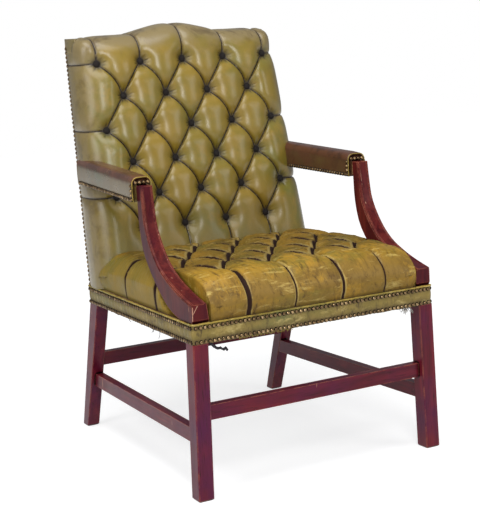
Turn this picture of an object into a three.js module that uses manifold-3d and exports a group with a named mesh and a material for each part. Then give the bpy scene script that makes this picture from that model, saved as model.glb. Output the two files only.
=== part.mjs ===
// Open armchair with a deep-buttoned leather back, a buttoned seat and a moulded hardwood frame.
// Millimetres, +Z up, the chair faces -Y. The origin is on the floor, under the middle of the chair.
import * as THREE from "three";
import { mergeVertices } from "three/addons/utils/BufferGeometryUtils.js";
import Module from "manifold-3d";

// Overall sizes
const frontWidth = 634; // across the covered front seat rail
const rearWidth = 608; // across the covered rear seat rail
const seatDepth = 620; // front rail face to rear rail face
const overallHeight = 1048; // floor to the middle of the crest
const rearKick = 126; // how far the rear feet and the crest stand behind the rear rail
const seatHeight = 497; // floor to the crown of the seat

// Frame timber
const railTop = 400;
const railHeight = 44;
const railThickness = 24;
const legSection = 38;
const legProud = 4.5; // outer faces of the front legs, outside the timber of the rails
const legSplay = 9; // the front feet stand this much wider than the rail
const rearLegWidth = 33;
const rearLegDepth = 46; // at the seat rails
const rearFootDepth = 32;
const rearLegProud = 3; // outer face of a rear leg below the rails, tapering to nothing at the foot
const footEase = 3; // worn chamfer round each foot
const edgeEase = 1.6; // softened long edges of the legs and stretchers
const stretcherHeight = 34;
const stretcherThickness = 21;
const stretcherInset = 10; // inside the timber faces of the rails
const sideStretcherBottom = 122;
const crossStretcherBottom = 178; // front and rear stretchers sit higher than the side ones
const uprightWidth = 38; // side of the back frame, above the seat rails
const uprightDepth = 30;
const crestHeight = 70;
const stayRailHeight = 45;
const stayRailThickness = 26;
const stayRailLift = 30; // above the top of the seat rails
const blockReach = 62; // corner block, along each rail
const blockHeight = 30;

// Joinery
const fit = 0.3; // gap between neighbouring pieces
const shoulderStep = 1; // slope of the ledge where a leg steps in under the leather
const tenonThickness = 10;
const tenonLength = 16;
const tenonShoulder = 7; // between a tenon and the face of its rail
const tenonEase = 0.5;
const topTenonWidth = 20; // tenon of the upright into the crest rail
const armTenon = 10;
const armTenonDepth = 22;
const armTongueLength = 13; // tongue of the arm rail into the arm support
const armTongueRear = 16; // and into the upright

// Leather and stuffing
const bandThickness = 3;
const weltRadius = 2.4;
const bandCorner = 4; // where the band starts to bend, before a corner of the rails
const bandCornerReach = 1.1; // the bend's outside, as a multiple of the band's thickness on the straight
const cheekThickness = 8; // padded leather over the sides and top of the back frame
const panelThickness = 3;
const backPadDepth = 124; // rear face of the back to the mean face of the stuffing
const backPadRound = 52;
const backTaper = 0.079; // the back narrows by this share between the seat and the crest
const shoulderDrop = 24; // shoulders of the back below the crest
const humpHalfWidth = 165;
const backCorner = 22;
const humpDip = 2; // the crest dips by this much before it rises to the hump
const padClearance = 1;
const seatInset = 3; // side and front of the cushion inside the leather band
const seatCorner = 14;
const seatEdgeRound = 58;
const seatEdgeShare = 0.62; // the most of the cushion's height that its rounded edge may take
const seatDome = 8; // rise of the cushion inside its rounded edge
const seatSideBulge = 3;

// Buttons
const buttonColumnGap = 119;
const buttonRowGap = 83;
const buttonRows = 6;
const topRowDrop = 88.4; // top row of buttons below the crest
const widestRowButtons = 5;
const buttonRadius = 10.5;
const buttonThickness = 8;
const buttonDome = 5.6;
const buttonSink = 10; // button face behind the mean face of the stuffing
const pocketRadius = 13;
const pocketRise = 12; // the pocket is open this far outside the mean face

// Arms
const armTop = 682; // top end of the arm support
const armSupportFootWidth = 38;
const armSupportFlare = 6; // the foot widens by this much more, inwards, down to the rail
const armSupportFlareRise = 40; // height of that flare
const armSupportTopWidth = 29;
const armSupportTopInset = 22; // middle of its top, inside the face of the front rail
const supportFootSetback = 1; // foot of the arm support, inside the face of the front rail
const beadWidth = 6.5;
const beadSink = 1.5;
const quirkDepth = 1; // groove beside each bead
const quirkWidth = 1.4;
const beadRound = 0.9;
const armRailWidth = 26;
const armRailHeight = 32;
const armRailBottom = 648;
const armRise = 14; // the arm rails climb by this much towards the back
const armPadWidth = 49;
const armPadDrop = 3; // pad side below the arm rail
const armPadTop = 20; // pad above the arm rail
const armPadStandOut = 7.5; // outer side of the pad, outside the side of the back where they meet
const armPadRound = 13;
const armPadTaper = 1.6; // the pad is this much narrower at the back
const armPadSwell = 5; // and this much thicker
const armPadEndEase = 3; // its front end closes in by this much
const armPadEndLength = 5; // over this length
const armPadGap = 1; // pad to the arm support
const armPadEndGap = 28; // pad stops this far in front of the rear face of the back

// Webbing and base cloth
const webWidth = 50;
const webThickness = 1.6;
const webLap = 1; // how far crossing strips sink into each other
const websAcross = 4;
const websAlong = 5;
const clothThickness = 1.2;
const clothInset = 9;
const clothCut = 2; // clearance of the base cloth round the legs
const postClear = 4; // webbing to the legs

// Sizes that follow from the ones above
const frontY = (weltRadius - seatDepth - rearKick) / 2;
const rearY = frontY + seatDepth;
const railBottom = railTop - railHeight;
const cover = bandThickness + fit; // leather and its gap, outside the timber
const frontHalf = frontWidth / 2 - cover; // timber, at the front
const rearHalf = rearWidth / 2 - cover;
const timberFrontY = frontY + cover;
const timberRearY = rearY - cover;
const backHeight = overallHeight - railTop;
const armSupportTopCentre = frontWidth / 2 - armSupportTopInset;
const past = 100; // how far a cut runs on past what it cuts
const far = 2000; // longer than any part of the chair

const wasm = await Module();
wasm.setup();

// Helpers that make and join solids

function solidOf(geometry) {
  const bare = geometry.index ? geometry.toNonIndexed() : geometry.clone();
  for (const key of Object.keys(bare.attributes)) if (key !== "position") bare.deleteAttribute(key);
  const merged = mergeVertices(bare, 1e-3);
  return new wasm.Manifold(
    new wasm.Mesh({
      numProp: 3,
      vertProperties: new Float32Array(merged.attributes.position.array),
      triVerts: new Uint32Array(merged.index.array),
    }),
  );
}

function geometryOf(solid) {
  const mesh = solid.getMesh();
  const geometry = new THREE.BufferGeometry();
  geometry.setAttribute("position", new THREE.BufferAttribute(new Float32Array(mesh.vertProperties), 3));
  geometry.setIndex(new THREE.BufferAttribute(new Uint32Array(mesh.triVerts), 1));
  return geometry;
}

// Moves every vertex by a rule that takes and changes a Vector3.
function reshape(geometry, rule) {
  const position = geometry.attributes.position;
  const point = new THREE.Vector3();
  for (let i = 0; i < position.count; i++) {
    point.fromBufferAttribute(position, i);
    rule(point);
    position.setXYZ(i, point.x, point.y, point.z);
  }
  return geometry;
}

// Turns every triangle of a list of corners to face the other way.
function flipped(corners) {
  const turned = [...corners];
  for (let i = 0; i < turned.length; i += 3) [turned[i + 1], turned[i + 2]] = [turned[i + 2], turned[i + 1]];
  return turned;
}

// A solid from points and triangles, which may all face in or all face out.
function skin(points, triangles) {
  const geometry = new THREE.BufferGeometry();
  geometry.setAttribute("position", new THREE.Float32BufferAttribute(points.flatMap((p) => [p.x, p.y, p.z]), 3));
  geometry.setIndex(triangles);
  const solid = solidOf(geometry);
  if (solid.volume() > 0) return solid;
  geometry.setIndex(flipped(triangles));
  return solidOf(geometry);
}

// The corners of a flat ring as seen square on.
function flattened(ring) {
  const normal = new THREE.Vector3();
  ring.forEach((p, i) => normal.add(new THREE.Vector3().crossVectors(p, ring[(i + 1) % ring.length])));
  normal.normalize();
  const side = Math.abs(normal.x) > Math.abs(normal.y) ? new THREE.Vector3(0, 1, 0) : new THREE.Vector3(1, 0, 0);
  const across = new THREE.Vector3().crossVectors(normal, side).normalize();
  const up = new THREE.Vector3().crossVectors(normal, across);
  return ring.map((p) => new THREE.Vector2(p.dot(across), p.dot(up)));
}

// A closed skin through rings of points, with a flat cap at each end.
function loft(rings) {
  const count = rings[0].length;
  const triangles = [];
  for (let r = 0; r + 1 < rings.length; r++)
    for (let i = 0; i < count; i++) {
      const a = r * count + i;
      const b = r * count + ((i + 1) % count);
      triangles.push(a, b, a + count, b, b + count, a + count);
    }
  const last = (rings.length - 1) * count;
  for (const [a, b, c] of THREE.ShapeUtils.triangulateShape(flattened(rings[0]), [])) triangles.push(a, c, b);
  for (const [a, b, c] of THREE.ShapeUtils.triangulateShape(flattened(rings.at(-1)), []))
    triangles.push(last + a, last + b, last + c);
  return skin(rings.flat(), triangles);
}

function box(x0, x1, y0, y1, z0, z1) {
  const geometry = new THREE.BoxGeometry(x1 - x0, y1 - y0, z1 - z0);
  geometry.translate((x0 + x1) / 2, (y0 + y1) / 2, (z0 + z1) / 2);
  return solidOf(geometry);
}

// A level ring round a rectangle, with its corners cut off by ease.
function squareRing(x0, x1, y0, y1, z, ease) {
  return [
    [x0 + ease, y0], [x1 - ease, y0], [x1, y0 + ease], [x1, y1 - ease],
    [x1 - ease, y1], [x0 + ease, y1], [x0, y1 - ease], [x0, y0 + ease],
  ].map(([x, y]) => new THREE.Vector3(x, y, z));
}

// A prism over a plan outline of [x, y] corners.
function prism(corners, z0, z1) {
  const shape = new THREE.Shape(corners.map(([x, y]) => new THREE.Vector2(x, y)));
  const geometry = new THREE.ExtrudeGeometry(shape, { depth: z1 - z0, bevelEnabled: false });
  geometry.translate(0, 0, z0);
  return solidOf(geometry);
}

const mirrored = (solid) => {
  const geometry = reshape(geometryOf(solid), (p) => p.setX(-p.x));
  geometry.setIndex(flipped(geometry.index.array));
  return solidOf(geometry);
};

const radians = THREE.MathUtils.degToRad;

// Half width of the timber at a depth: the seat frame narrows towards the back.
const sideX = (y, inset = 0) => {
  const share = (y - timberFrontY) / (timberRearY - timberFrontY);
  return frontHalf + (rearHalf - frontHalf) * share - inset;
};

// The back leans and narrows above the seat rails.
const leanAt = (z) => (rearKick * (z - railTop)) / backHeight;
const narrowAt = (z) => 1 - (backTaper * (z - railTop)) / backHeight;
const leaned = (solid) =>
  solidOf(reshape(geometryOf(solid), (p) => p.set(p.x * narrowAt(p.z), p.y + leanAt(p.z), p.z)));

// Legs: all shown for the +X side, and mirrored for the other

const legHeadZ = railBottom - fit; // a leg steps in here, to lie under the leather of the rails

// The front leg stands proud of the rails down to the foot, and its head steps in behind their leather.
// grow makes the leg's envelope larger on every side, for cutting its neighbours.
function frontLeg(grow = 0) {
  const ring = (z, proud, inset = 0) => {
    const outer = frontHalf + proud + legSplay * (1 - Math.min(z, legHeadZ) / legHeadZ);
    const section = legSection - legProud + proud;
    const front = timberFrontY - proud;
    return squareRing(
      outer - section + inset - grow, outer - inset + grow,
      front + inset - grow, front + section - inset + grow,
      z, edgeEase,
    ).map((p) => p.setX(p.x + sideX(p.y) - frontHalf));
  };
  return loft([
    ring(0, legProud, footEase), ring(footEase, legProud), ring(legHeadZ - shoulderStep, legProud),
    ring(legHeadZ, 0), ring(railTop, 0),
  ]);
}

const uprightTop = overallHeight - shoulderDrop - crestHeight;
const rearFootY = rearY + rearKick;

// The rear leg rakes back and tapers below the seat, and runs on above it as the upright of the back,
// in one timber.
const rearLegBackY = (z) => timberRearY + rearLegProud + (rearFootY - timberRearY - rearLegProud) * (1 - z / legHeadZ);
const rearLegDepthAt = (z) => rearFootDepth + (rearLegDepth - rearFootDepth) * (z / legHeadZ);
const rearLegFrontY = (z) => rearLegBackY(z) - rearLegDepthAt(z);
const uprightOuter = (z) => (rearWidth / 2 - cheekThickness - fit) * narrowAt(z);
function rearLeg(grow = 0) {
  const ring = (z, back, depth, outer, width, inset = 0) =>
    squareRing(
      outer - width + inset - grow, outer - inset + grow,
      back - depth + inset - grow, back - inset + grow,
      z, edgeEase,
    );
  const raked = (z, inset) =>
    ring(z, rearLegBackY(z), rearLegDepthAt(z), rearHalf + (rearLegProud * z) / legHeadZ, rearLegWidth, inset);
  const atRails = (z) => ring(z, timberRearY, rearLegDepth - rearLegProud, rearHalf, rearLegWidth - rearLegProud);
  const upright = (z) => ring(z, timberRearY + leanAt(z), uprightDepth, uprightOuter(z), uprightWidth);
  return loft([
    raked(0, footEase), raked(footEase, 0), raked(legHeadZ - shoulderStep, 0),
    atRails(legHeadZ), atRails(railTop),
    upright(railTop + 2 * shoulderStep), upright(uprightTop),
  ]);
}

// Rails and stretchers: bars between two posts, scribed to them, with a tenon into each

const cuts = { frontLeg: [], rearLeg: [] };

// Tenon box, and the mortise that takes it.
function tenon(post, x0, x1, y0, y1, z0, z1) {
  cuts[post].push(box(x0 - fit, x1 + fit, y0 - fit, y1 + fit, z0 - fit, z1 + fit));
  return box(x0, x1, y0, y1, z0, z1);
}

function crossBar(post, postSolid, y0, y1, z0, z1, innerX, tenonY) {
  const bar = box(-innerX - tenonLength, innerX + tenonLength, y0, y1, z0, z1);
  const tongue = tenon(
    post, innerX - tenonLength, innerX + tenonLength,
    tenonY - tenonThickness / 2, tenonY + tenonThickness / 2, z0 + tenonShoulder, z1 - tenonShoulder,
  );
  return bar.subtract(postSolid).subtract(mirrored(postSolid)).add(tongue).add(mirrored(tongue));
}

const grownFrontLeg = frontLeg(fit);
const grownRearLeg = rearLeg(fit);

const frontLegInnerX = (z) => frontHalf + legProud - legSection + legSplay * (1 - z / legHeadZ);
const rearLegInnerX = rearHalf + rearLegProud - rearLegWidth;
const frontRail = crossBar(
  "frontLeg", grownFrontLeg, timberFrontY, timberFrontY + railThickness, railBottom, railTop,
  frontLegInnerX(legHeadZ), timberFrontY + tenonShoulder + tenonThickness / 2,
);
const rearRail = crossBar(
  "rearLeg", grownRearLeg, timberRearY - railThickness, timberRearY, railBottom, railTop,
  rearLegInnerX, timberRearY - tenonShoulder - tenonThickness / 2,
);

const stretcherMiddle = crossStretcherBottom + stretcherHeight / 2;
const frontStretcherY = timberFrontY + stretcherInset;
const frontStretcher = crossBar(
  "frontLeg", grownFrontLeg, frontStretcherY, frontStretcherY + stretcherThickness,
  crossStretcherBottom, crossStretcherBottom + stretcherHeight,
  frontLegInnerX(stretcherMiddle), frontStretcherY + stretcherThickness / 2,
);
const rearStretcherY = rearLegFrontY(stretcherMiddle) + stretcherInset;
const rearStretcher = crossBar(
  "rearLeg", grownRearLeg, rearStretcherY, rearStretcherY + stretcherThickness,
  crossStretcherBottom, crossStretcherBottom + stretcherHeight,
  rearLegInnerX, rearStretcherY + stretcherThickness / 2,
);

const sideBarY = timberFrontY + legSection - legProud; // rear face of the front legs

// A side bar runs between two outer faces, one at each post; its tenons run straight back.
function sideBar(frontOuter, rearOuter, y1, thickness, z0, z1) {
  const y0 = sideBarY;
  const outer = (y) => frontOuter + ((rearOuter - frontOuter) * (y - y0)) / (y1 - y0);
  const [front, rear] = [y0 - tenonLength, y1 + tenonLength];
  const bar = prism(
    [[outer(front) - thickness, front], [outer(front), front], [outer(rear), rear], [outer(rear) - thickness, rear]],
    z0, z1,
  );
  const tongue = (post, from, to, middle) => {
    const x = outer(middle) - thickness / 2;
    return tenon(post, x - tenonThickness / 2, x + tenonThickness / 2, from, to, z0 + tenonShoulder, z1 - tenonShoulder);
  };
  return bar
    .subtract(grownFrontLeg)
    .subtract(grownRearLeg)
    .add(tongue("frontLeg", y0 - tenonLength, y0 + tenonLength, y0))
    .add(tongue("rearLeg", y1 - tenonLength, y1 + tenonLength, y1));
}

const railRearY = timberRearY - rearLegDepth + rearLegProud;
const sideRail = sideBar(sideX(sideBarY), sideX(railRearY), railRearY, railThickness, railBottom, railTop);
const sideStretcherTop = sideStretcherBottom + stretcherHeight;
const sideStretcher = sideBar(
  frontLegInnerX(sideStretcherBottom) + legSection - legProud - stretcherInset, rearHalf - stretcherInset,
  rearLegFrontY(sideStretcherTop), stretcherThickness, sideStretcherBottom, sideStretcherTop,
);

// Triangular glue block in a corner of the seat frame
function cornerBlock(y, into, leg) {
  const innerX = sideX(y, railThickness + fit);
  const outline = [
    [innerX, y], [innerX - blockReach, y],
    [sideX(y + into * blockReach, railThickness + fit), y + into * blockReach],
  ];
  const z0 = railTop - tenonShoulder - blockHeight;
  return prism(outline, z0, z0 + blockHeight).subtract(leg);
}
const frontBlock = cornerBlock(timberFrontY + railThickness + fit, 1, grownFrontLeg);
const rearBlock = cornerBlock(timberRearY - railThickness - fit, -1, grownRearLeg);

// Back frame

// Front view of the back, before it leans, drawn inset from its outer edge.
function backOutline(inset, bottom, corner) {
  const half = rearWidth / 2 - inset;
  const top = overallHeight - inset;
  const shoulder = top - shoulderDrop;
  const flatTo = Math.min(humpHalfWidth, half - 2 * corner);
  const shape = new THREE.Shape();
  shape.moveTo(-half, bottom);
  shape.lineTo(half, bottom);
  shape.lineTo(half, shoulder - corner);
  if (corner) shape.quadraticCurveTo(half, shoulder, half - corner, shoulder);
  const [dipX, crownX] = [flatTo * 0.73, flatTo * 0.58]; // handles of the two curves of the hump
  shape.lineTo(flatTo, shoulder);
  shape.bezierCurveTo(dipX, shoulder - humpDip, crownX, top, 0, top);
  shape.bezierCurveTo(-crownX, top, -dipX, shoulder - humpDip, -flatTo, shoulder);
  shape.lineTo(-half + corner, shoulder);
  if (corner) shape.quadraticCurveTo(-half, shoulder, -half, shoulder - corner);
  shape.closePath();
  return shape;
}

// An upright slab with that outline, from y0 back to y1, its front edges rounded if asked.
function backSlab(inset, bottom, y0, y1, round = 0) {
  const corner = round ? 0 : Math.max(backCorner - inset, edgeEase);
  const geometry = new THREE.ExtrudeGeometry(backOutline(inset + round, bottom, corner), {
    depth: round ? y1 - y0 + past : y1 - y0,
    bevelEnabled: round > 0,
    bevelSize: round,
    bevelThickness: round,
    bevelSegments: 4,
    curveSegments: 6,
  });
  geometry.rotateX(Math.PI / 2);
  geometry.scale(1, -1, 1);
  geometry.setIndex(flipped(Array(geometry.attributes.position.count).keys()));
  geometry.translate(0, y0 + round, 0);
  const slab = solidOf(geometry).intersect(box(-far, far, -far, y1, bottom + round, far));
  return round ? slab.intersect(backSlab(inset, bottom, y0 - fit, y1)) : slab;
}

const crestRail = leaned(
  backSlab(cheekThickness + fit, uprightTop + fit, timberRearY - uprightDepth, timberRearY),
);

// Stub tenon on top of each upright, into the crest rail
function topTenon(grow) {
  const x = uprightOuter(uprightTop) - uprightWidth / 2;
  const across = topTenonWidth / 2 + grow;
  const half = tenonThickness / 2 + grow;
  const ring = (z) => {
    const y = timberRearY + leanAt(z) - uprightDepth / 2;
    return squareRing(x - across, x + across, y - half, y + half, z, tenonEase);
  };
  return loft([ring(uprightTop - tenonShoulder), ring(uprightTop + tenonLength + grow)]);
}

// Lower rail of the back, which the stuffing is tacked to
const stayZ = railTop + stayRailLift;
const stayInner = uprightOuter(stayZ) - uprightWidth;
const stayMiddleY = timberRearY - uprightDepth / 2;
const stayBox = (x0, x1, y0, y1, z0, z1) =>
  leaned(box(x0 / narrowAt(stayZ), x1 / narrowAt(stayZ), y0, y1, z0, z1));
const stayTenon = (grow) =>
  stayBox(
    stayInner - tenonLength, stayInner + tenonLength + grow,
    stayMiddleY - tenonThickness / 2 - grow, stayMiddleY + tenonThickness / 2 + grow,
    stayZ + tenonShoulder - grow, stayZ + stayRailHeight - tenonShoulder + grow,
  );
const stayRail = stayBox(
  -stayInner - tenonLength, stayInner + tenonLength,
  stayMiddleY - stayRailThickness / 2, stayMiddleY + stayRailThickness / 2, stayZ, stayZ + stayRailHeight,
)
  .subtract(grownRearLeg)
  .subtract(mirrored(grownRearLeg))
  .add(stayTenon(0))
  .add(mirrored(stayTenon(0)));

// Arm support: a moulded bar that sweeps down and forward from the arm to the corner of the seat

// Front and back edges of the bar in side view, from the top down, as [behind the front rail, above it].
const supportFront = [
  [235, 282], [231, 240], [223, 192], [200, 150], [173, 118], [142, 94], [102, 75], [58, 59], [-20, 38],
];
const supportBack = [
  [263, 282], [261, 242], [257, 185], [240, 129], [208, 88], [170, 53], [126, 21], [97, 9], [66, 1], [16, -14],
];
const supportRise = supportFront[0][1]; // as drawn; both edges stretch to reach the arm
const supportStations = 22;

const sweepEdge = (points) =>
  new THREE.CatmullRomCurve3(
    points.map(([y, z]) => new THREE.Vector3(0, frontY + y, railTop + (z * (armTop - railTop)) / supportRise)),
    false, "centripetal",
  );

// One section of the bar: a quirked bead along each front corner, and a sunk field between them.
function supportRing(front, back, outer, width, grow) {
  const along = back.clone().sub(front);
  const depth = along.length() + 2 * grow;
  along.normalize();
  const start = front.clone().addScaledVector(along, -grow);
  const w = width + 2 * grow;
  const crown = beadWidth - quirkDepth - quirkWidth;
  const bead = grow ? [[0, 0]] : [
    [0, beadWidth], [quirkDepth, beadWidth - quirkDepth], [0, crown], [beadRound, beadRound],
    [crown, 0], [beadWidth - quirkDepth, quirkDepth], [beadWidth, beadSink],
  ];
  const otherBead = bead.map(([x, v]) => [w - x, v]).reverse();
  const section = [
    ...bead, ...otherBead,
    [w, depth - edgeEase], [w - edgeEase, depth], [edgeEase, depth], [0, depth - edgeEase],
  ];
  return section.map(([x, v]) => {
    const p = start.clone().addScaledVector(along, v);
    return p.setX(outer + grow - w + x - flareAt(p.z) * (1 - x / w));
  });
}

// The inner side of the bar spreads at its foot.
const flareAt = (z) => armSupportFlare * THREE.MathUtils.clamp(1 - (z - railTop) / armSupportFlareRise, 0, 1) ** 2;

// Outer face and width of the bar, which closes in and thins as it rises.
function supportPlan(z) {
  const rise = THREE.MathUtils.clamp((z - railTop) / (armTop - railTop), 0, 1);
  const footOuter = frontWidth / 2 - supportFootSetback;
  const topOuter = armSupportTopCentre + armSupportTopWidth / 2;
  return {
    outer: footOuter + (topOuter - footOuter) * rise,
    width: armSupportFootWidth + (armSupportTopWidth - armSupportFootWidth) * rise,
  };
}

function armSupport(grow = 0) {
  const frontEdge = sweepEdge(supportFront);
  const backEdge = sweepEdge(supportBack);
  const rings = [];
  for (let i = 0; i <= supportStations; i++) {
    const t = i / supportStations;
    const front = frontEdge.getPoint(t);
    const back = backEdge.getPoint(t);
    const { outer, width } = supportPlan(front.z);
    rings.push(supportRing(front, back, outer, width, grow));
  }
  return loft(rings);
}

// Trimmed flush with the front of the seat and flat on the rail.
const supportTrim = box(0, far, frontY + supportFootSetback, far, railTop + fit, far);

const armTenonX = frontHalf - tenonShoulder - armTenon / 2;
const armTenonY = timberFrontY + tenonShoulder + armTenon / 2;
const footTenon = (grow) =>
  box(
    armTenonX - armTenon / 2 - grow, armTenonX + armTenon / 2 + grow,
    armTenonY - armTenon / 2 - grow, armTenonY + armTenon / 2 + grow,
    railTop - armTenonDepth - grow, railTop + 2 * fit,
  );

// Arm rail: from the arm support back to the upright, inside the arm pad

const armFrontY = frontY + supportBack[0][0]; // back face of the arm support at its top
const armBackY = timberRearY + leanAt(armRailBottom) - uprightDepth;
const uprightCentre = uprightOuter(armRailBottom) - uprightWidth / 2;
const armCentreX = (y) => {
  const share = (y - armFrontY) / (armBackY - armFrontY);
  return armSupportTopCentre + (uprightCentre - armSupportTopCentre) * share;
};
const armLift = (y) => (armRise * (y - armFrontY)) / (armBackY - armFrontY);

// Upright ring across the arm at a depth, for lofts along the arm.
function armRing(y, centre, width, z0, z1, ease) {
  const half = width / 2;
  return [
    [-half + ease, z0], [half - ease, z0], [half, z0 + ease], [half, z1 - ease],
    [half - ease, z1], [-half + ease, z1], [-half, z1 - ease], [-half, z0 + ease],
  ].map(([x, z]) => new THREE.Vector3(centre + x, y, z));
}

function armBar(y0, y1, width, below, above, ease) {
  const ring = (y) =>
    armRing(y, armCentreX(y), width, armRailBottom + armLift(y) - below, armRailBottom + armLift(y) + above, ease);
  return loft([ring(y0), ring(y1)]);
}

const armShoulder = (armRailHeight - 2 * tenonThickness) / 2;
const armTongue = (y0, y1, grow) =>
  armBar(y0, y1, tenonThickness + 2 * grow, grow - armShoulder, armRailHeight - armShoulder + grow, tenonEase);
const armTongueFront = (grow) => armTongue(armFrontY - armTongueLength - grow, armFrontY + tenonLength, grow);
const armTongueBack = (grow) => armTongue(armBackY - tenonLength, armBackY + armTongueRear + grow, grow);

const armSupportPiece = armSupport().intersect(supportTrim).add(footTenon(0)).subtract(armTongueFront(fit));
const armRail = armBar(armFrontY - edgeEase, armBackY + tenonLength, armRailWidth, 0, armRailHeight, edgeEase)
  .subtract(armSupport(fit))
  .subtract(grownRearLeg)
  .add(armTongueFront(0))
  .add(armTongueBack(0));

// Legs with their mortises cut

const cutAll = (solid, tools) => tools.reduce((left, tool) => left.subtract(tool), solid);
const frontLegPiece = cutAll(frontLeg(), [...cuts.frontLeg, footTenon(fit)]);
const rearLegPiece = cutAll(rearLeg().add(topTenon(0)), [...cuts.rearLeg, stayTenon(fit), armTongueBack(fit)]);
const crestPiece = crestRail.subtract(topTenon(fit)).subtract(mirrored(topTenon(fit)));

// Back pad: stuffing and leather over the front, sides and top of the back frame

const padFrontY = (z) => rearY - backPadDepth + leanAt(z);
const frameRearY = timberRearY + fit;
function backForm(grow = 0) {
  const bottom = railTop + fit - (grow ? padClearance : 0) - backPadRound;
  return leaned(backSlab(-grow, bottom, rearY - backPadDepth - grow, frameRearY + grow, backPadRound));
}
const backCavity = leaned(
  backSlab(cheekThickness, railBottom, timberRearY - uprightDepth - fit, frameRearY + past),
);
const armChannel = armBar(armFrontY, armBackY + uprightDepth, armRailWidth + 2 * fit, fit, armRailHeight + fit, edgeEase);

// Places of the buttons: rows of five and four in turn, as [x, z].
const buttonPlaces = [];
for (let row = 0; row < buttonRows; row++) {
  const inRow = widestRowButtons - (row % 2);
  for (let i = 0; i < inRow; i++)
    buttonPlaces.push({
      row: row + 1,
      column: i + 1,
      x: (i - (inRow - 1) / 2) * buttonColumnGap,
      z: overallHeight - topRowDrop - row * buttonRowGap,
    });
}

const leanAngle = Math.atan2(rearKick, backHeight);
const atButton = (geometry, x, z) => {
  geometry.rotateX(-leanAngle);
  geometry.translate(x, padFrontY(z), z);
  return solidOf(geometry);
};

// A round form from a profile of [radius, height], turned to face out of the back.
const buttonSides = 12;
function turned(profile) {
  const geometry = new THREE.LatheGeometry(profile.map(([r, h]) => new THREE.Vector2(r, h)), buttonSides);
  return geometry.rotateX(Math.PI);
}

function pocket({ x, z }) {
  const depth = buttonSink + buttonThickness + fit;
  const form = turned([
    [0, -depth], [buttonRadius + fit, -depth], [buttonRadius + fit, -buttonSink], [pocketRadius, pocketRise],
    [0, pocketRise],
  ]);
  return atButton(form, x, z);
}

// Leather-covered button: a domed cap with its leather gathered in underneath
function button({ x, z }) {
  const dome = [0, 30, 60].map((a) => [
    buttonRadius * Math.cos(radians(a)), buttonDome * (Math.sin(radians(a)) - 1),
  ]);
  const form = turned([[0, -buttonThickness], [buttonRadius - edgeEase, -buttonThickness], ...dome, [0, 0]]);
  return atButton(form.translate(0, buttonSink, 0), x, z);
}

let backPad = cutAll(backForm(), [
  backCavity, armChannel, mirrored(armChannel), grownRearLeg, mirrored(grownRearLeg),
]);
for (const place of buttonPlaces) backPad = backPad.subtract(pocket(place));

const backPanel = leaned(backSlab(1, railTop + fit, frameRearY + fit, rearY));

// Seat pad: a domed cushion on the rails, notched round the arm supports and the back

// Level outline of the cushion at a height, drawn in from its widest by inset.
function seatRing(z, inset) {
  const front = frontY + seatInset + inset;
  const back = rearY - backPadDepth + leanAt(z) - padClearance;
  const side = (y) => (frontWidth + ((rearWidth - frontWidth) * (y - frontY)) / seatDepth) / 2 - seatInset - inset;
  const corner = seatCorner + Math.max(inset, 0) / 2;
  const [cornerX, cornerY] = [side(front + corner) - corner, front + corner];
  const sideSteps = 5;
  const frontSteps = 6;
  const right = [];
  for (let i = 0; i <= sideSteps; i++) {
    const y = back + ((cornerY - back) * i) / sideSteps;
    right.push([side(y), y]);
  }
  for (const angle of [30, 60].map(radians))
    right.push([cornerX + corner * Math.cos(angle), cornerY - corner * Math.sin(angle)]);
  const left = [...right].reverse().map(([x, y]) => [-x, y]);
  const middle = [];
  for (let i = 0; i <= frontSteps; i++) middle.push([cornerX * (1 - (2 * i) / frontSteps), front]);
  return [...right, ...middle, ...left].map(([x, y]) => new THREE.Vector3(x, y, z));
}

function seatForm() {
  const bottom = railTop + fit;
  const crown = seatHeight - bottom;
  const rise = Math.min(seatEdgeRound, crown * seatEdgeShare);
  const widest = seatHeight - seatDome - rise;
  const rings = [seatRing(bottom, 1), seatRing(widest, -seatSideBulge)];
  for (const angle of [25, 50, 70, 84].map(radians))
    rings.push(seatRing(widest + rise * Math.sin(angle), (seatEdgeRound + seatCorner) * (1 - Math.cos(angle))));
  rings.push(seatRing(seatHeight, 2 * seatEdgeRound));
  return loft(rings);
}

// Room for the arm support, through the corner of the cushion.
function supportNotch() {
  const edge = sweepEdge(supportBack);
  const corners = edge.getPoints(supportStations).map((p) => [p.y + padClearance, p.z - padClearance]);
  const [before, above] = [frontY - past, armTop + past];
  corners.push([before, railBottom - past], [before, above], [corners[0][0], above]);
  const shape = new THREE.Shape(corners.map(([y, z]) => new THREE.Vector2(y, z)));
  const innerAt = (z) => supportPlan(z).outer - supportPlan(z).width - flareAt(z);
  const inner = Math.min(innerAt(railTop), innerAt(seatHeight)) - padClearance;
  const geometry = new THREE.ExtrudeGeometry(shape, { depth: past, bevelEnabled: false });
  geometry.rotateZ(Math.PI / 2).rotateY(Math.PI / 2).translate(inner, 0, 0);
  return solidOf(geometry);
}

const notch = supportNotch();
const seatPad = seatForm().subtract(notch).subtract(mirrored(notch));

// Arm pads: rounded over the arm rail, open below, and scribed to the back

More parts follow.
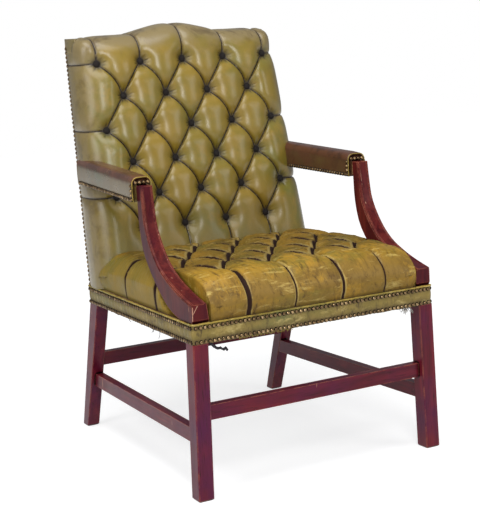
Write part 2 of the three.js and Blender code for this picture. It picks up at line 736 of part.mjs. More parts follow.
function armPad() {
  const y0 = armFrontY + fit + armPadGap;
  const y1 = rearY + leanAt(armTop) - armPadEndGap;
  const rearCentre = (rearWidth / 2) * narrowAt(armRailBottom) + armPadStandOut - armPadWidth / 2;
  const ring = (y, drop = 0) => {
    const share = (y - y0) / (y1 - y0);
    const centre = armSupportTopCentre + (rearCentre - armSupportTopCentre) * share;
    const half = (armPadWidth - armPadTaper * share) / 2 - drop;
    const z0 = armRailBottom + armLift(y) - armPadDrop;
    const z1 = armRailBottom + armRailHeight + armPadTop + armLift(y) + armPadSwell * share - drop;
    const corner = (side, angles) =>
      angles.map(radians).map((angle) => [
        side * (half - armPadRound) + armPadRound * Math.cos(angle), z1 - armPadRound + armPadRound * Math.sin(angle),
      ]);
    const points = [[-half, z0], [half, z0], ...corner(1, [0, 30, 60, 90]), ...corner(-1, [90, 120, 150, 180])];
    return points.map(([x, z]) => new THREE.Vector3(centre + x, y, z));
  };
  const form = loft([ring(y0, armPadEndEase), ring(y0 + armPadEndLength), ring((y0 + y1) / 2), ring(y1)]);
  const channel = armBar(y0 - past, armBackY + uprightDepth, armRailWidth + 2 * fit, past, armRailHeight + fit, tenonEase);
  return form.subtract(channel).subtract(backForm(padClearance)).subtract(grownRearLeg);
}
const armPadPiece = armPad();

// Leather band round the seat rails: a flat strip with a rolled welt along its top

function railBand() {
  const arc = [-90, -45, 0, 45, 90].map(radians);
  const welt = arc.map((a) => [cover + weltRadius * Math.cos(a), railTop + weltRadius * (Math.sin(a) - 1)]);
  const profile = [[fit, railBottom], [cover, railBottom], ...welt, [fit, railTop]];
  const corners = [
    [frontHalf, timberFrontY], [rearHalf, timberRearY], [-rearHalf, timberRearY], [-frontHalf, timberFrontY],
  ].map(([x, y]) => new THREE.Vector2(x, y));
  // The band goes round each corner in two short bends, with its inside on the timber.
  const rings = corners.flatMap((corner, i) => {
    const inward = corner.clone().sub(corners.at(i - 1)).normalize();
    const onward = corners[(i + 1) % 4].clone().sub(corner).normalize();
    const ring = (along, slide, facing, reach) =>
      profile.map(([out, z]) => {
        const p = corner.clone().addScaledVector(along, slide).addScaledVector(facing, out > fit ? out * reach : out);
        return new THREE.Vector3(p.x, p.y, z);
      });
    const [before, after] = [inward, onward].map((way) => new THREE.Vector2(way.y, -way.x));
    const middle = before.clone().add(after).normalize();
    return [
      ring(inward, -bandCorner, before, 1), ring(inward, 0, middle, bandCornerReach), ring(onward, bandCorner, after, 1),
    ];
  });
  const count = profile.length;
  const triangles = [];
  rings.forEach((_, r) => {
    const next = (r + 1) % rings.length;
    for (let i = 0; i < count; i++) {
      const j = (i + 1) % count;
      triangles.push(r * count + i, r * count + j, next * count + i);
      triangles.push(r * count + j, next * count + j, next * count + i);
    }
  });
  return skin(rings.flat(), triangles);
}

// Webbing: two layers of strips, tacked under the rails, crossing and touching
function webbing() {
  const z1 = railBottom - fit;
  const inset = clothInset + fit;
  const layers = [];
  const y0 = timberFrontY + inset;
  const y1 = timberRearY - inset;
  const clear = rearLegDepth + postClear;
  const spanX = 2 * (rearHalf - legSection - postClear);
  for (let i = 0; i < websAlong; i++) {
    const x = -spanX / 2 + (spanX * (i + 0.5)) / websAlong;
    layers.push(box(x - webWidth / 2, x + webWidth / 2, y0, y1, z1 - webThickness, z1));
  }
  const spanY = y1 - y0 - 2 * clear;
  for (let i = 0; i < websAcross; i++) {
    const y = y0 + clear + (spanY * (i + 0.5)) / websAcross;
    const x = sideX(y + webWidth / 2, inset);
    const top = z1 - webThickness + webLap;
    layers.push(box(-x, x, y - webWidth / 2, y + webWidth / 2, top - webThickness, top));
  }
  return layers.reduce((all, strip) => all.add(strip));
}

// Base cloth: black lining tacked below the webbing, cut round the legs
function baseCloth() {
  const z1 = railBottom - fit - 2 * webThickness + webLap - fit;
  const y0 = timberFrontY + clothInset;
  const y1 = timberRearY - clothInset;
  const [frontX, rearX] = [sideX(y0, clothInset), sideX(y1, clothInset)];
  const sheet = prism([[-frontX, y0], [frontX, y0], [rearX, y1], [-rearX, y1]], z1 - clothThickness, z1);
  const frontGap = frontLeg(clothCut);
  const rearGap = rearLeg(clothCut);
  return cutAll(sheet, [frontGap, mirrored(frontGap), rearGap, mirrored(rearGap)]);
}

// Materials

const mahogany = new THREE.MeshStandardMaterial({ color: 0x5a2018, roughness: 0.35, metalness: 0 });
const beech = new THREE.MeshStandardMaterial({ color: 0xa98558, roughness: 0.7, metalness: 0 });
const leather = new THREE.MeshStandardMaterial({ color: 0x7d7038, roughness: 0.42, metalness: 0 });
const wornLeather = new THREE.MeshStandardMaterial({ color: 0x8d7a3a, roughness: 0.55, metalness: 0 });
const buttonLeather = new THREE.MeshStandardMaterial({ color: 0x2c261c, roughness: 0.5, metalness: 0 });
const jute = new THREE.MeshStandardMaterial({ color: 0x9a8560, roughness: 0.9, metalness: 0 });
const lining = new THREE.MeshStandardMaterial({ color: 0x17171a, roughness: 0.95, metalness: 0 });

const chair = new THREE.Group();
function place(name, solid, material) {
  const mesh = new THREE.Mesh(geometryOf(solid), material);
  mesh.geometry.computeVertexNormals();
  mesh.name = name;
  chair.add(mesh);
}
function placePair(name, solid, material) {
  place(`right_${name}`, solid, material);
  place(`left_${name}`, mirrored(solid), material);
}

placePair("front_leg", frontLegPiece, mahogany);
placePair("rear_leg", rearLegPiece, mahogany);
place("front_seat_rail", frontRail, beech);
place("rear_seat_rail", rearRail, beech);
placePair("seat_rail", sideRail, beech);
placePair("front_corner_block", frontBlock, beech);
placePair("rear_corner_block", rearBlock, beech);
place("front_stretcher", frontStretcher, mahogany);
place("rear_stretcher", rearStretcher, mahogany);
placePair("stretcher", sideStretcher, mahogany);
place("crest_rail", crestPiece, beech);
place("back_stay_rail", stayRail, beech);
placePair("arm_support", armSupportPiece, mahogany);
placePair("arm_rail", armRail, beech);
placePair("arm_pad", armPadPiece, leather);
place("back_pad", backPad, leather);
place("outside_back_panel", backPanel, leather);
place("seat_pad", seatPad, wornLeather);
place("rail_band", railBand(), leather);
place("seat_webbing", webbing(), jute);
place("base_cloth", baseCloth(), lining);
for (const spot of buttonPlaces) place(`back_button_${spot.row}_${spot.column}`, button(spot), buttonLeather);

export default chair;
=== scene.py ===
import math

import bpy
import numpy as np
from mathutils import Matrix, Vector


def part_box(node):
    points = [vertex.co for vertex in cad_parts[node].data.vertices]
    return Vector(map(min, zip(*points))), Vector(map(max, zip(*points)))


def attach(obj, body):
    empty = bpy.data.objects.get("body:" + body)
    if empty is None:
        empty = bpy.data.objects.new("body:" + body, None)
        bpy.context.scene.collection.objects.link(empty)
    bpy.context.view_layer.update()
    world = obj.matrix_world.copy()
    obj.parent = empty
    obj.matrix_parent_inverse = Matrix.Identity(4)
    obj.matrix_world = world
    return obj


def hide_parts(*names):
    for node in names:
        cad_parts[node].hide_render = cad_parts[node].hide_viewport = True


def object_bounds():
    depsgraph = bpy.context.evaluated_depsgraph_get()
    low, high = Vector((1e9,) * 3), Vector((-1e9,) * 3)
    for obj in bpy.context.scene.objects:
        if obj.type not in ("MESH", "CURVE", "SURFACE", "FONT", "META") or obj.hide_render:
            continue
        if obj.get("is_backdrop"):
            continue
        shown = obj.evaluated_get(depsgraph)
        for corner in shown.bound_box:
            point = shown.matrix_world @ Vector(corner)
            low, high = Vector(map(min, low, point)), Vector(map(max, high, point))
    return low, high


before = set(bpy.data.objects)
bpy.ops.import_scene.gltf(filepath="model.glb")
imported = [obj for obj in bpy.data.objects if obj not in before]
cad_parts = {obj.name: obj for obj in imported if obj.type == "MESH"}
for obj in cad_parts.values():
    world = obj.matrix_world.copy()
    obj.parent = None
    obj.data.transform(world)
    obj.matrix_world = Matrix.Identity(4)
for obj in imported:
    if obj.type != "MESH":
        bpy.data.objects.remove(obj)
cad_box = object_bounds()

scene = bpy.context.scene
scene.view_settings.view_transform = "Standard"
MM = 0.001

# Studio: the chair stands on a seamless white floor, seen from its front left corner (as the viewer
# sees it) at about the height of its crest. Softboxes stand at the left, beside the camera, at the right
# and overhead.
photo_long_side = 532
focal_px = 1323.3
camera_place = Vector((-1.5254, -2.8813, 1.0094))
turn, tilt, lean_over = (math.radians(a) for a in (-27.985, 9.907, -3.310))

toward = Vector((math.sin(turn) * math.cos(tilt), -math.cos(turn) * math.cos(tilt), math.sin(tilt)))
level = (-toward).cross(Vector((0, 0, 1))).normalized()
upright = level.cross(-toward)
across = math.cos(lean_over) * level + math.sin(lean_over) * upright
above = -math.sin(lean_over) * level + math.cos(lean_over) * upright
lens = bpy.data.cameras.new("camera")
lens.sensor_width = 36
lens.lens = lens.sensor_width * focal_px / photo_long_side
camera = bpy.data.objects.new("camera", lens)
camera.matrix_world = Matrix.Translation(camera_place) @ Matrix((across, above, toward)).transposed().to_4x4()
scene.collection.objects.link(camera)
scene.camera = camera

for name, place, aim_height, size, power in (
        ("left_softbox", (-2.9, -0.9, 1.9), 0.6, (1.2, 2.0), 35),
        ("front_softbox", (-1.1, -3.3, 2.2), 0.7, (1.0, 1.5), 56),
        ("right_softbox", (1.9, -2.5, 1.8), 0.6, (1.2, 1.8), 20),
        ("top_softbox", (-0.5, -0.6, 3.1), 0.4, (2.0, 2.0), 54)):
    light = bpy.data.lights.new(name, "AREA")
    light.shape = "RECTANGLE"
    light.size, light.size_y = size
    light.energy = power
    lamp = bpy.data.objects.new(name, light)
    lamp.location = place
    lamp.rotation_euler = (Vector((0, 0, aim_height)) - Vector(place)).to_track_quat("-Z", "Y").to_euler()
    scene.collection.objects.link(lamp)


def emptied(block):
    """The node tree of a new material or world, with nothing in it yet."""
    block.use_nodes = True
    block.node_tree.nodes.clear()
    return block.node_tree


def linear(code):
    """A colour as it is seen, written as hex, made ready for a shader."""
    seen = [int(code[i:i + 2], 16) / 255 for i in (1, 3, 5)]
    return tuple(c / 12.92 if c <= 0.04045 else ((c + 0.055) / 1.055) ** 2.4 for c in seen) + (1,)


def add(tree, kind, inputs=None, give=0, **settings):
    """Adds a shader node, sets or links its inputs, and gives one of its outputs."""
    node = tree.nodes.new("ShaderNode" + kind)
    for key, value in settings.items():
        setattr(node, key, value)
    for key, value in (inputs or {}).items():
        if isinstance(value, bpy.types.NodeSocket):
            tree.links.new(value, node.inputs[key])
        else:
            node.inputs[key].default_value = linear(value) if isinstance(value, str) else value
    return node.outputs[give] if len(node.outputs) else None


def calc(tree, operation, *values):
    return add(tree, "Math", dict(enumerate(values)), operation=operation)


def seen_directly(tree):
    """1 where the camera, a mirror or a pane looks straight at the surface, and 0 for its light."""
    rays = [add(tree, "LightPath", give=f"Is {kind} Ray") for kind in ("Camera", "Glossy", "Transmission")]
    return calc(tree, "MAXIMUM", calc(tree, "MAXIMUM", rays[0], rays[1]), rays[2])


scene.world = bpy.data.worlds.new("studio")
sky = emptied(scene.world)
room = add(sky, "Background", {"Color": (0.92, 0.95, 1, 1), "Strength": 0.3})
paper = add(sky, "Background", {"Color": (1, 1, 1, 1), "Strength": 1.0})
only_camera = add(sky, "LightPath", give="Is Camera Ray")
add(sky, "OutputWorld", {0: add(sky, "MixShader", {0: only_camera, 1: room, 2: paper})})

floor_half = 9
floor_mesh = bpy.data.meshes.new("floor")
floor_mesh.from_pydata([(x * floor_half, y * floor_half, 0) for x, y in ((-1, -1), (1, -1), (1, 1), (-1, 1))],
                       [], [(0, 1, 2, 3)])
floor = bpy.data.objects.new("floor", floor_mesh)
scene.collection.objects.link(floor)
floor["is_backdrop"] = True
floor_paper = bpy.data.materials.new("floor_paper")
floor_mesh.materials.append(floor_paper)
tree = emptied(floor_paper)
matt = add(tree, "BsdfDiffuse", {"Color": (0.52, 0.52, 0.52, 1)})
here = add(tree, "NewGeometry", give="Position")
from_chair = add(tree, "VectorMath", {0: here}, "Value", operation="LENGTH")
fade = add(tree, "MapRange", {0: from_chair, 1: 0.8, 2: 3.2, 3: 0.68, 4: 0.87})
glow = add(tree, "Emission", {"Color": (1, 1, 1, 1), "Strength": fade})
dark = add(tree, "Emission", {"Color": (0, 0, 0, 1), "Strength": 0})
lifted = add(tree, "MixShader", {0: seen_directly(tree), 1: dark, 2: glow})
add(tree, "OutputMaterial", {0: add(tree, "AddShader", {0: matt, 1: lifted})})


# Show timber: dark mahogany legs, stretchers and arm supports, stained red and polished, with fine scratches.
# Its edges are rubbed pale and carry a painted highlight, and painted shade darkens its hollows. The grain
# runs along each piece.
def ramp(tree, factor, stops):
    """Colours along a factor, as (place, hex colour) pairs."""
    colour = add(tree, "ValToRGB", {0: factor})
    elements = colour.node.color_ramp.elements
    elements.remove(elements[1])
    elements[0].position = stops[0][0]
    elements[0].color = linear(stops[0][1])
    for place, code in stops[1:]:
        elements.new(place).color = linear(code)
    return colour


def spread(tree, factor, low, high):
    """A factor stretched to run from 0 at low to 1 at high."""
    return add(tree, "MapRange", {0: factor, 1: low, 2: high}, interpolation_type="SMOOTHSTEP")


def mix(tree, factor, first, second, blend="MIX"):
    return add(tree, "Mix", {0: factor, 6: first, 7: second}, 2, data_type="RGBA", blend_type=blend)


def product(tree, first, *others):
    for other in others:
        first = calc(tree, "MULTIPLY", first, other)
    return first


def noise(tree, place, scale, detail=4, rough=0.55, twist=0.0):
    return add(tree, "TexNoise", {"Vector": place, "Scale": scale, "Detail": detail, "Roughness": rough,
                                  "Distortion": twist})


def stretched(tree, scale=(1, 1, 1), rotation=(0, 0, 0)):
    """Places on the object, in metres, squeezed by scale so that a texture runs along a piece."""
    where = add(tree, "TexCoord", give="Object")
    return add(tree, "Mapping", {"Vector": where, "Scale": scale, "Rotation": rotation})


def raised(tree, height, strength, depth):
    return add(tree, "Bump", {"Height": height, "Strength": strength, "Distance": depth})


def new_finish(name):
    material = bpy.data.materials.new(name)
    return material, emptied(material)


def coated(tree, sockets):
    """Ends a material with its shader, whose sockets are set or linked."""
    add(tree, "OutputMaterial", {0: add(tree, "BsdfPrincipled", sockets)})


def scratched(tree, cover, start, end, width, tone):
    """A pale line rubbed or cut into a finish from one place on the object to another."""
    where = add(tree, "TexCoord", give="Object")
    run = Vector(end) - Vector(start)
    ahead = add(tree, "VectorMath", {0: where, 1: start}, operation="SUBTRACT")
    share = add(tree, "VectorMath", {0: ahead, 1: run / run.length_squared}, "Value", operation="DOT_PRODUCT")
    share = add(tree, "Clamp", {0: share})
    nearest = add(tree, "VectorMath", {0: run, "Scale": share}, operation="SCALE")
    away = add(tree, "VectorMath", {0: ahead, 1: nearest}, "Value", operation="DISTANCE")
    wobble = calc(tree, "MULTIPLY_ADD", noise(tree, where, 260, 2), width, away)
    return mix(tree, spread(tree, wobble, 1.3 * width, 0.7 * width), cover, tone)


def mahogany(name, along, tones, cast, scratches=(), shine=0.22):
    """Polished mahogany with its grain along one of the axes, in three tones and a cloudy cast."""
    material, tree = new_finish(name)
    where = stretched(tree)
    squeeze = [34, 34, 34]
    squeeze["XYZ".index(along)] = 2.2
    grain_place = stretched(tree, squeeze)
    pores = noise(tree, grain_place, 9, 6, 0.7, 0.4)
    figure = noise(tree, grain_place, 1.1, 3, 0.6, 1.2)
    cloud = noise(tree, where, 9, 3)
    wood = ramp(tree, figure, tuple(zip((0.28, 0.5, 0.72), tones)))
    wood = mix(tree, spread(tree, cloud, 0.35, 0.75), wood, cast)
    wood = mix(tree, spread(tree, pores, 0.52, 0.72), wood, "#2c050f")
    # Painted shade: the wood is darkened towards #120304 in grooves and hollows that the AO node finds closed
    # in.
    hollow_shade = add(tree, "AmbientOcclusion", {"Distance": 6 * MM}, "AO", samples=8)
    wood = mix(tree, spread(tree, hollow_shade, 0.94, 0.72), wood, "#120304")
    # Pale edges: partly rubbed polish and partly a painted highlight along the arrises, where the Bevel
    # normal turns from the flat one.
    edge = add(tree, "Bevel", {"Radius": 3.6 * MM}, samples=6)
    flat = add(tree, "NewGeometry", give="Normal")
    turned = add(tree, "VectorMath", {0: edge, 1: flat}, "Value", operation="DOT_PRODUCT")
    patchy = noise(tree, where, 34, 4, 0.7)
    rubbed_edge_and_highlight = product(tree, spread(tree, turned, 0.995, 0.93), spread(tree, patchy, 0.36, 0.58))
    wood = mix(tree, rubbed_edge_and_highlight, wood, "#96523f")
    scuff_place = stretched(tree, (60, 60, 9), (0.5, 0.2, 0.3))
    scuffs = spread(tree, noise(tree, scuff_place, 2.2, 2, 0.5), 0.73, 0.78)
    wood = mix(tree, scuffs, wood, "#a87862")
    for start, end, width in scratches:
        wood = scratched(tree, wood, start, end, width, "#d9a98c")
    dull = add(tree, "MapRange", {0: noise(tree, where, 26, 5), 3: 0.24, 4: 0.46})
    coated(tree, {"Base Color": wood, "Roughness": dull, "Specular IOR Level": shine,
                  "Normal": raised(tree, pores, 0.12, 0.4 * MM)})
    return material


def refinish(node, material):
    """A CAD piece keeps its shape and takes a finish."""
    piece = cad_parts[node]
    piece.data.materials.clear()
    piece.data.materials.append(material)


cool_red = ("#4a0a18", "#651524", "#7a2128")
warm_red = ("#3c0c10", "#561a19", "#6b2620")
upright_grain = mahogany("mahogany_upright", "Z", cool_red, "#4f1038")
cross_grain = mahogany("mahogany_crosswise", "X", cool_red, "#541030")
side_grain = mahogany("mahogany_lengthwise", "Y", cool_red, "#541030")
support_scratches = (((-0.3145, -0.371, 0.404), (-0.3125, -0.371, 0.437), 1.1 * MM),
                     ((-0.3125, -0.371, 0.422), (-0.3010, -0.371, 0.439), 1.0 * MM),
                     ((-0.3150, -0.1390, 0.660), (-0.3150, -0.1445, 0.625), 0.9 * MM),
                     ((-0.3150, -0.1480, 0.612), (-0.3150, -0.1600, 0.574), 0.9 * MM),
                     ((0.2850, -0.1370, 0.668), (0.2865, -0.1400, 0.634), 0.8 * MM),
                     ((0.2868, -0.1405, 0.628), (0.2885, -0.1545, 0.570), 0.9 * MM))
support_grain = mahogany("mahogany_arm_support", "Z", warm_red, "#421122", support_scratches, 0.12)
bead_angle = math.radians(24)
for side in ("left", "right"):
    for node in ("front_leg", "rear_leg"):
        refinish(f"{side}_{node}", upright_grain)
    refinish(f"{side}_stretcher", side_grain)
    refinish(f"{side}_arm_support", support_grain)
    support_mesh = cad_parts[f"{side}_arm_support"].data
    support_mesh.shade_smooth()
    support_mesh.set_sharp_from_angle(angle=bead_angle)
for node in ("front_stretcher", "rear_stretcher"):
    refinish(node, cross_grain)


# Beech frame under the covers: seat rails, corner blocks, back rails and arm rails, sawn and left bare.
# It shows only from below, darkened by age.
def beech():
    material, tree = new_finish("beech")
    flecks = noise(tree, stretched(tree, (3, 3, 60)), 12, 5, 0.7)
    age = noise(tree, stretched(tree), 6, 3)
    wood = ramp(tree, flecks, ((0.3, "#7a5a38"), (0.6, "#a98258"), (0.8, "#b99467")))
    wood = mix(tree, spread(tree, age, 0.4, 0.7), wood, "#6a4c30")
    coated(tree, {"Base Color": wood, "Roughness": 0.75, "Normal": raised(tree, flecks, 0.3, 0.5 * MM)})
    return material


bare_beech = beech()
for side in ("left", "right"):
    for node in ("seat_rail", "arm_rail", "front_corner_block", "rear_corner_block"):
        refinish(f"{side}_{node}", bare_beech)
for node in ("front_seat_rail", "rear_seat_rail", "crest_rail", "back_stay_rail"):
    refinish(node, bare_beech)


# Webbing and base cloth: jute strips tacked under the rails, and a black cotton lining below them.
# Both are plain weaves, dusty with age.
def woven(name, warp, weft, pitch, roughness):
    """A plain weave of two yarn colours at a pitch in metres."""
    material, tree = new_finish(name)
    where = stretched(tree)
    wave = {"Vector": where, "Scale": 1 / pitch / 3.14, "Distortion": 0.6}
    crossing = product(tree, *(add(tree, "TexWave", wave, 1, bands_direction=axis) for axis in ("X", "Y")))
    cloth = mix(tree, spread(tree, crossing, 0.1, 0.6), weft, warp)
    dust = noise(tree, where, 14, 5)
    cloth = mix(tree, spread(tree, dust, 0.5, 0.8), cloth, warp, "ADD")
    coated(tree, {"Base Color": cloth, "Roughness": roughness,
                  "Normal": raised(tree, crossing, 0.5, 0.4 * MM)})
    return material


refinish("seat_webbing", woven("jute_webbing", "#a08560", "#6c5638", 2.2 * MM, 0.9))
refinish("base_cloth", woven("black_lining", "#25252a", "#101013", 0.9 * MM, 0.95))


# Buttoned back: horsehair stuffing under one thick hide, dyed olive green and glazed, pulled in by covered
# buttons in rows of five and four. The fullness is folded into pleats between the buttons, and straight to
# the edges outside them. The hide is rubbed brown at the edges; its folds and button pockets are painted dark
# with shade, and it is darker towards the bottom.
def hide(name, tones, shine, worn=0.0, glaze=0.36, gap_shade_tone="#1a0d08"):
    """Aged leather. tones are its olive, yellow, green, rubbed, pale and stain colours; the stain colour also
    paints shade beside the folds, and the last tone the shade inside them. Each mesh says how far each point
    is from a fold, in mm, how dirty or shaded in paint it is, how rubbed, and on the seat how sound."""
    olive, yellow, green, brown, pale, stain_and_shade = tones
    material, tree = new_finish(name)
    where = stretched(tree)
    fold, dirt_and_shade, rub = (add(tree, "Attribute", give="Fac", attribute_name=key)
                       for key in ("fold", "dirt_and_shade", "rub"))
    cloud = noise(tree, where, 5.5, 4, 0.6)
    mottle = noise(tree, where, 24, 5, 0.65)
    cover = ramp(tree, cloud, ((0.3, green), (0.48, olive), (0.66, yellow)))
    cover = mix(tree, spread(tree, mottle, 0.45, 0.7), cover, yellow)
    uneven = calc(tree, "SUBTRACT", calc(tree, "ADD", rub, mottle), 0.5)
    cover = mix(tree, spread(tree, uneven, 0.1, 0.85), cover, brown)
    grimy = spread(tree, noise(tree, where, 15, 5, 0.7, 0.5), 0.48, 0.64)
    cover = mix(tree, product(tree, grimy, rub, 0.6), cover, stain_and_shade)
    if worn:
        whole = cover
        streaks = noise(tree, stretched(tree, (46, 9, 20), (0.3, 0.2, 0.5)), 1.6, 6, 0.75, 0.6)
        cross = noise(tree, stretched(tree, (10, 60, 30), (0.2, 0.4, -0.6)), 1.4, 6, 0.75, 0.4)
        patches = noise(tree, where, 8.5, 5, 0.7, 0.5)
        cover = mix(tree, spread(tree, streaks, 0.5, 0.72), cover, stain_and_shade)
        cover = mix(tree, spread(tree, cross, 0.53, 0.70), cover, pale)
        bare = product(tree, spread(tree, patches, 0.5, 0.66), spread(tree, streaks, 0.6, 0.4), worn)
        cover = mix(tree, bare, cover, yellow)
        torn = product(tree, spread(tree, fold, 5.2, 3.0), spread(tree, patches, 0.4, 0.55))
        cover = mix(tree, torn, cover, pale)
        sound = add(tree, "Attribute", give="Fac", attribute_name="sound")
        cover = mix(tree, sound, cover, mix(tree, 0.55, whole, green))
    # Painted shade beside each fold, in the stain colour.
    cover = mix(tree, product(tree, spread(tree, fold, 5.5, 1.6), 0.45), cover, stain_and_shade)
    # The dirt mark darkens towards near black: real dirt on the seat top, and painted shade in pockets,
    # creases, tucks and hollows.
    cover = mix(tree, dirt_and_shade, cover, "#0e0806")
    # Painted shade: a thin near-black line along each fold, for the shadow inside the pleat.
    line = spread(tree, fold, 1.9, 1.0)
    cover = mix(tree, line, cover, gap_shade_tone)
    gloss = add(tree, "MapRange", {0: mottle, 1: 0.3, 2: 0.7, 3: shine[0], 4: shine[1]})
    dusty = calc(tree, "MULTIPLY_ADD", calc(tree, "MAXIMUM", line, dirt_and_shade), 0.5, gloss)
    grain = add(tree, "TexVoronoi", {"Vector": where, "Scale": 620}, "Distance", feature="SMOOTH_F1")
    creased = add(tree, "Bump", {"Height": noise(tree, where, 70, 6, 0.7), "Strength": 0.14 + 0.45 * worn,
                                 "Distance": 1.2 * MM,
                                 "Normal": raised(tree, grain, 0.22 + 0.25 * worn, 0.25 * MM)})
    coated(tree, {"Base Color": cover, "Roughness": dusty, "Specular IOR Level": 0.38 - 0.16 * worn,
                  "Coat Weight": glaze, "Coat Roughness": 0.27, "Normal": creased})
    return material


back_hide = hide("back_hide", ("#786824", "#866e24", "#686730", "#80704a", "#9a8f62", "#3f2c14"),
                 (0.28, 0.42))
rows = []
for row in range(1, 7):
    boxes = [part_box(f"back_button_{row}_{column}") for column in range(1, 6 if row % 2 else 5)]
    rows.append([(low + high) / 2 for low, high in boxes])
column_gap = rows[0][1].x - rows[0][0].x
top_button, low_button = rows[0][0], rows[4][0]
lean = (top_button.y - low_button.y) / (top_button.z - low_button.z)
back_low, back_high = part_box("back_pad")
panel_low, panel_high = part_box("outside_back_panel")
far_off = 9.0


def smooth_step(x, low, high):
    t = np.clip((x - low) / (high - low), 0, 1)
    return t * t * (3 - 2 * t)


def across_lines(roll, steps, middle_count):
    """Lines of a grid from side to side, close together where the edges roll over. Each is a side or a share
    of the half width, and how far it stays inside the edge."""
    inset = [roll * (1 - math.cos(math.pi / 2 * k / steps)) for k in range(steps)]
    lines = [(-1, b) for b in inset] + [(m, roll) for m in np.linspace(-1, 1, middle_count)]
    return lines + [(1, b) for b in reversed(inset)]


def joined(button_rows):
    """Pairs of buttons in neighbouring rows that a pleat joins."""
    pairs = []
    for upper, lower in zip(button_rows, button_rows[1:]):
        for here in upper:
            pairs += [(here, there) for there in lower
                      if abs(abs(there[0] - here[0]) - column_gap / 2) < 1 * MM]
    return pairs


def pleat_field(u, v, pleats):
    """Distance to the nearest pleat, which side of it, a rounder distance that shapes the stuffing, and the
    way on to the pleat. A pleat is two ends, how far it bows, and how wide it has opened."""
    nearest = np.full(u.shape, far_off)
    side, crowd, slide_u, slide_v = (np.zeros(u.shape) for _ in range(4))
    for (au, av), (bu, bv), bow, gap in pleats:
        length = math.hypot(bu - au, bv - av)
        du, dv = (bu - au) / length, (bv - av) / length
        along = (u - au) * du + (v - av) * dv
        share = np.clip(along / length, 0, 1)
        off = (v - av) * du - (u - au) * dv - bow * 4 * share * (1 - share)
        open_to = gap * 4 * share * (1 - share)
        off = np.sign(off) * np.maximum(np.abs(off) - open_to, 0)
        away = np.hypot(off, along - share * length)
        crowd += (away + 1e-4) ** -3
        closer = away < nearest
        nearest = np.where(closer, away, nearest)
        side = np.where(closer, np.sign(off), side)
        slide_u = np.where(closer, off * dv, slide_u)
        slide_v = np.where(closer, -off * du, slide_v)
    return nearest, side, crowd ** (-1 / 3), slide_u, slide_v


def settled(u, v, inside, pleats, cell):
    """Moves grid points that lie close to a pleat on to it, so that the fold runs along mesh edges."""
    near_u, near_v = u, v
    for _ in range(2):
        nearest, _, _, slide_u, slide_v = pleat_field(near_u, near_v, pleats)
        close = nearest < 0.55 * cell
        near_u = np.where(close, near_u + slide_u, near_u)
        near_v = np.where(close, near_v + slide_v, near_v)
    return np.where(inside, near_u, u), np.where(inside, near_v, v)


def stuffing(u, v, pleats, buttons, crown, saddle, reach, fold_depth, seed):
    """Height of buttoned stuffing over its buttons, with the fold distance and side, and the shade painted
    round the buttons and in the creases of their gathers.
    """
    nearest, side, rounded, _, _ = pleat_field(u, v, pleats)
    to_button = np.full(u.shape, far_off)
    angle = np.zeros(u.shape)
    for bu, bv in buttons:
        r = np.hypot(u - bu, v - bv)
        angle = np.where(r < to_button, np.arctan2(v - bv, u - bu), angle)
        to_button = np.minimum(to_button, r)
    full = (1 - (1 - np.clip(rounded / reach, 0, 1)) ** 2.2) ** 0.6
    pull = 1 - np.exp(-(np.maximum(to_button - 8 * MM, 0) / (17 * MM)) ** 1.25)
    height = pull * (saddle + (crown - saddle) * full)
    height -= fold_depth * np.exp(-(nearest / (1.7 * MM)) ** 1.3) * np.clip(pull * 2, 0, 1)
    height += 1.3 * MM * (side > 0) * np.exp(-nearest / (3.5 * MM)) * pull
    gathers = np.cos(11 * angle + 2.1 * np.sin(2 * angle + seed)) + 0.6 * np.cos(17 * angle + seed)
    gather_ring = 14 * MM
    height += 0.8 * MM * gathers * np.exp(-((to_button - gather_ring) / (8 * MM)) ** 2)
    # Painted shade: dark round each button in its pocket, and in the hollows of the gathers.
    dirt_and_shade = np.clip(1.2 * np.exp(-(to_button / (13.5 * MM)) ** 2.6), 0, 1)
    crease_shade = np.clip(gathers * -0.7, 0, 1) * np.exp(-((to_button - gather_ring) / (6 * MM)) ** 2)
    return height, nearest, side, np.maximum(dirt_and_shade, 0.95 * crease_shade)


def normals_of(points):
    """Outward directions of a grid of points, rows by columns."""
    normal = np.cross(np.gradient(points, axis=1), np.gradient(points, axis=0))
    return normal / np.maximum(np.linalg.norm(normal, axis=2, keepdims=True), 1e-12)


def rim_of(shape):
    """Indices of the points round the edge of a grid."""
    index = np.arange(shape[0] * shape[1]).reshape(shape[:2])
    return np.concatenate([index[0, :], index[1:, -1], index[-1, -2::-1], index[-2:0:-1, 0]])


def new_piece(name, points, faces, marks, material, sharp=None):
    """A smooth piece, with its marks of wear and painted shade as values at its points."""
    mesh = bpy.data.meshes.new(name)
    mesh.from_pydata(np.array(points).tolist(), [], faces)
    for key, values in marks.items():
        layer = mesh.attributes.new(key, "FLOAT", "POINT")
        layer.data.foreach_set("value", np.broadcast_to(values, len(points)).astype(np.float32))
    mesh.shade_smooth()
    if sharp:
        mesh.set_sharp_from_angle(angle=math.radians(sharp))
    mesh.materials.append(material)
    piece = bpy.data.objects.new(name, mesh)
    scene.collection.objects.link(piece)
    return piece


def fixed(piece, stands_for=None):
    """Fixes a piece to the chair, in place of a CAD piece where it has one."""
    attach(piece, "root")
    if stands_for:
        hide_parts(stands_for)


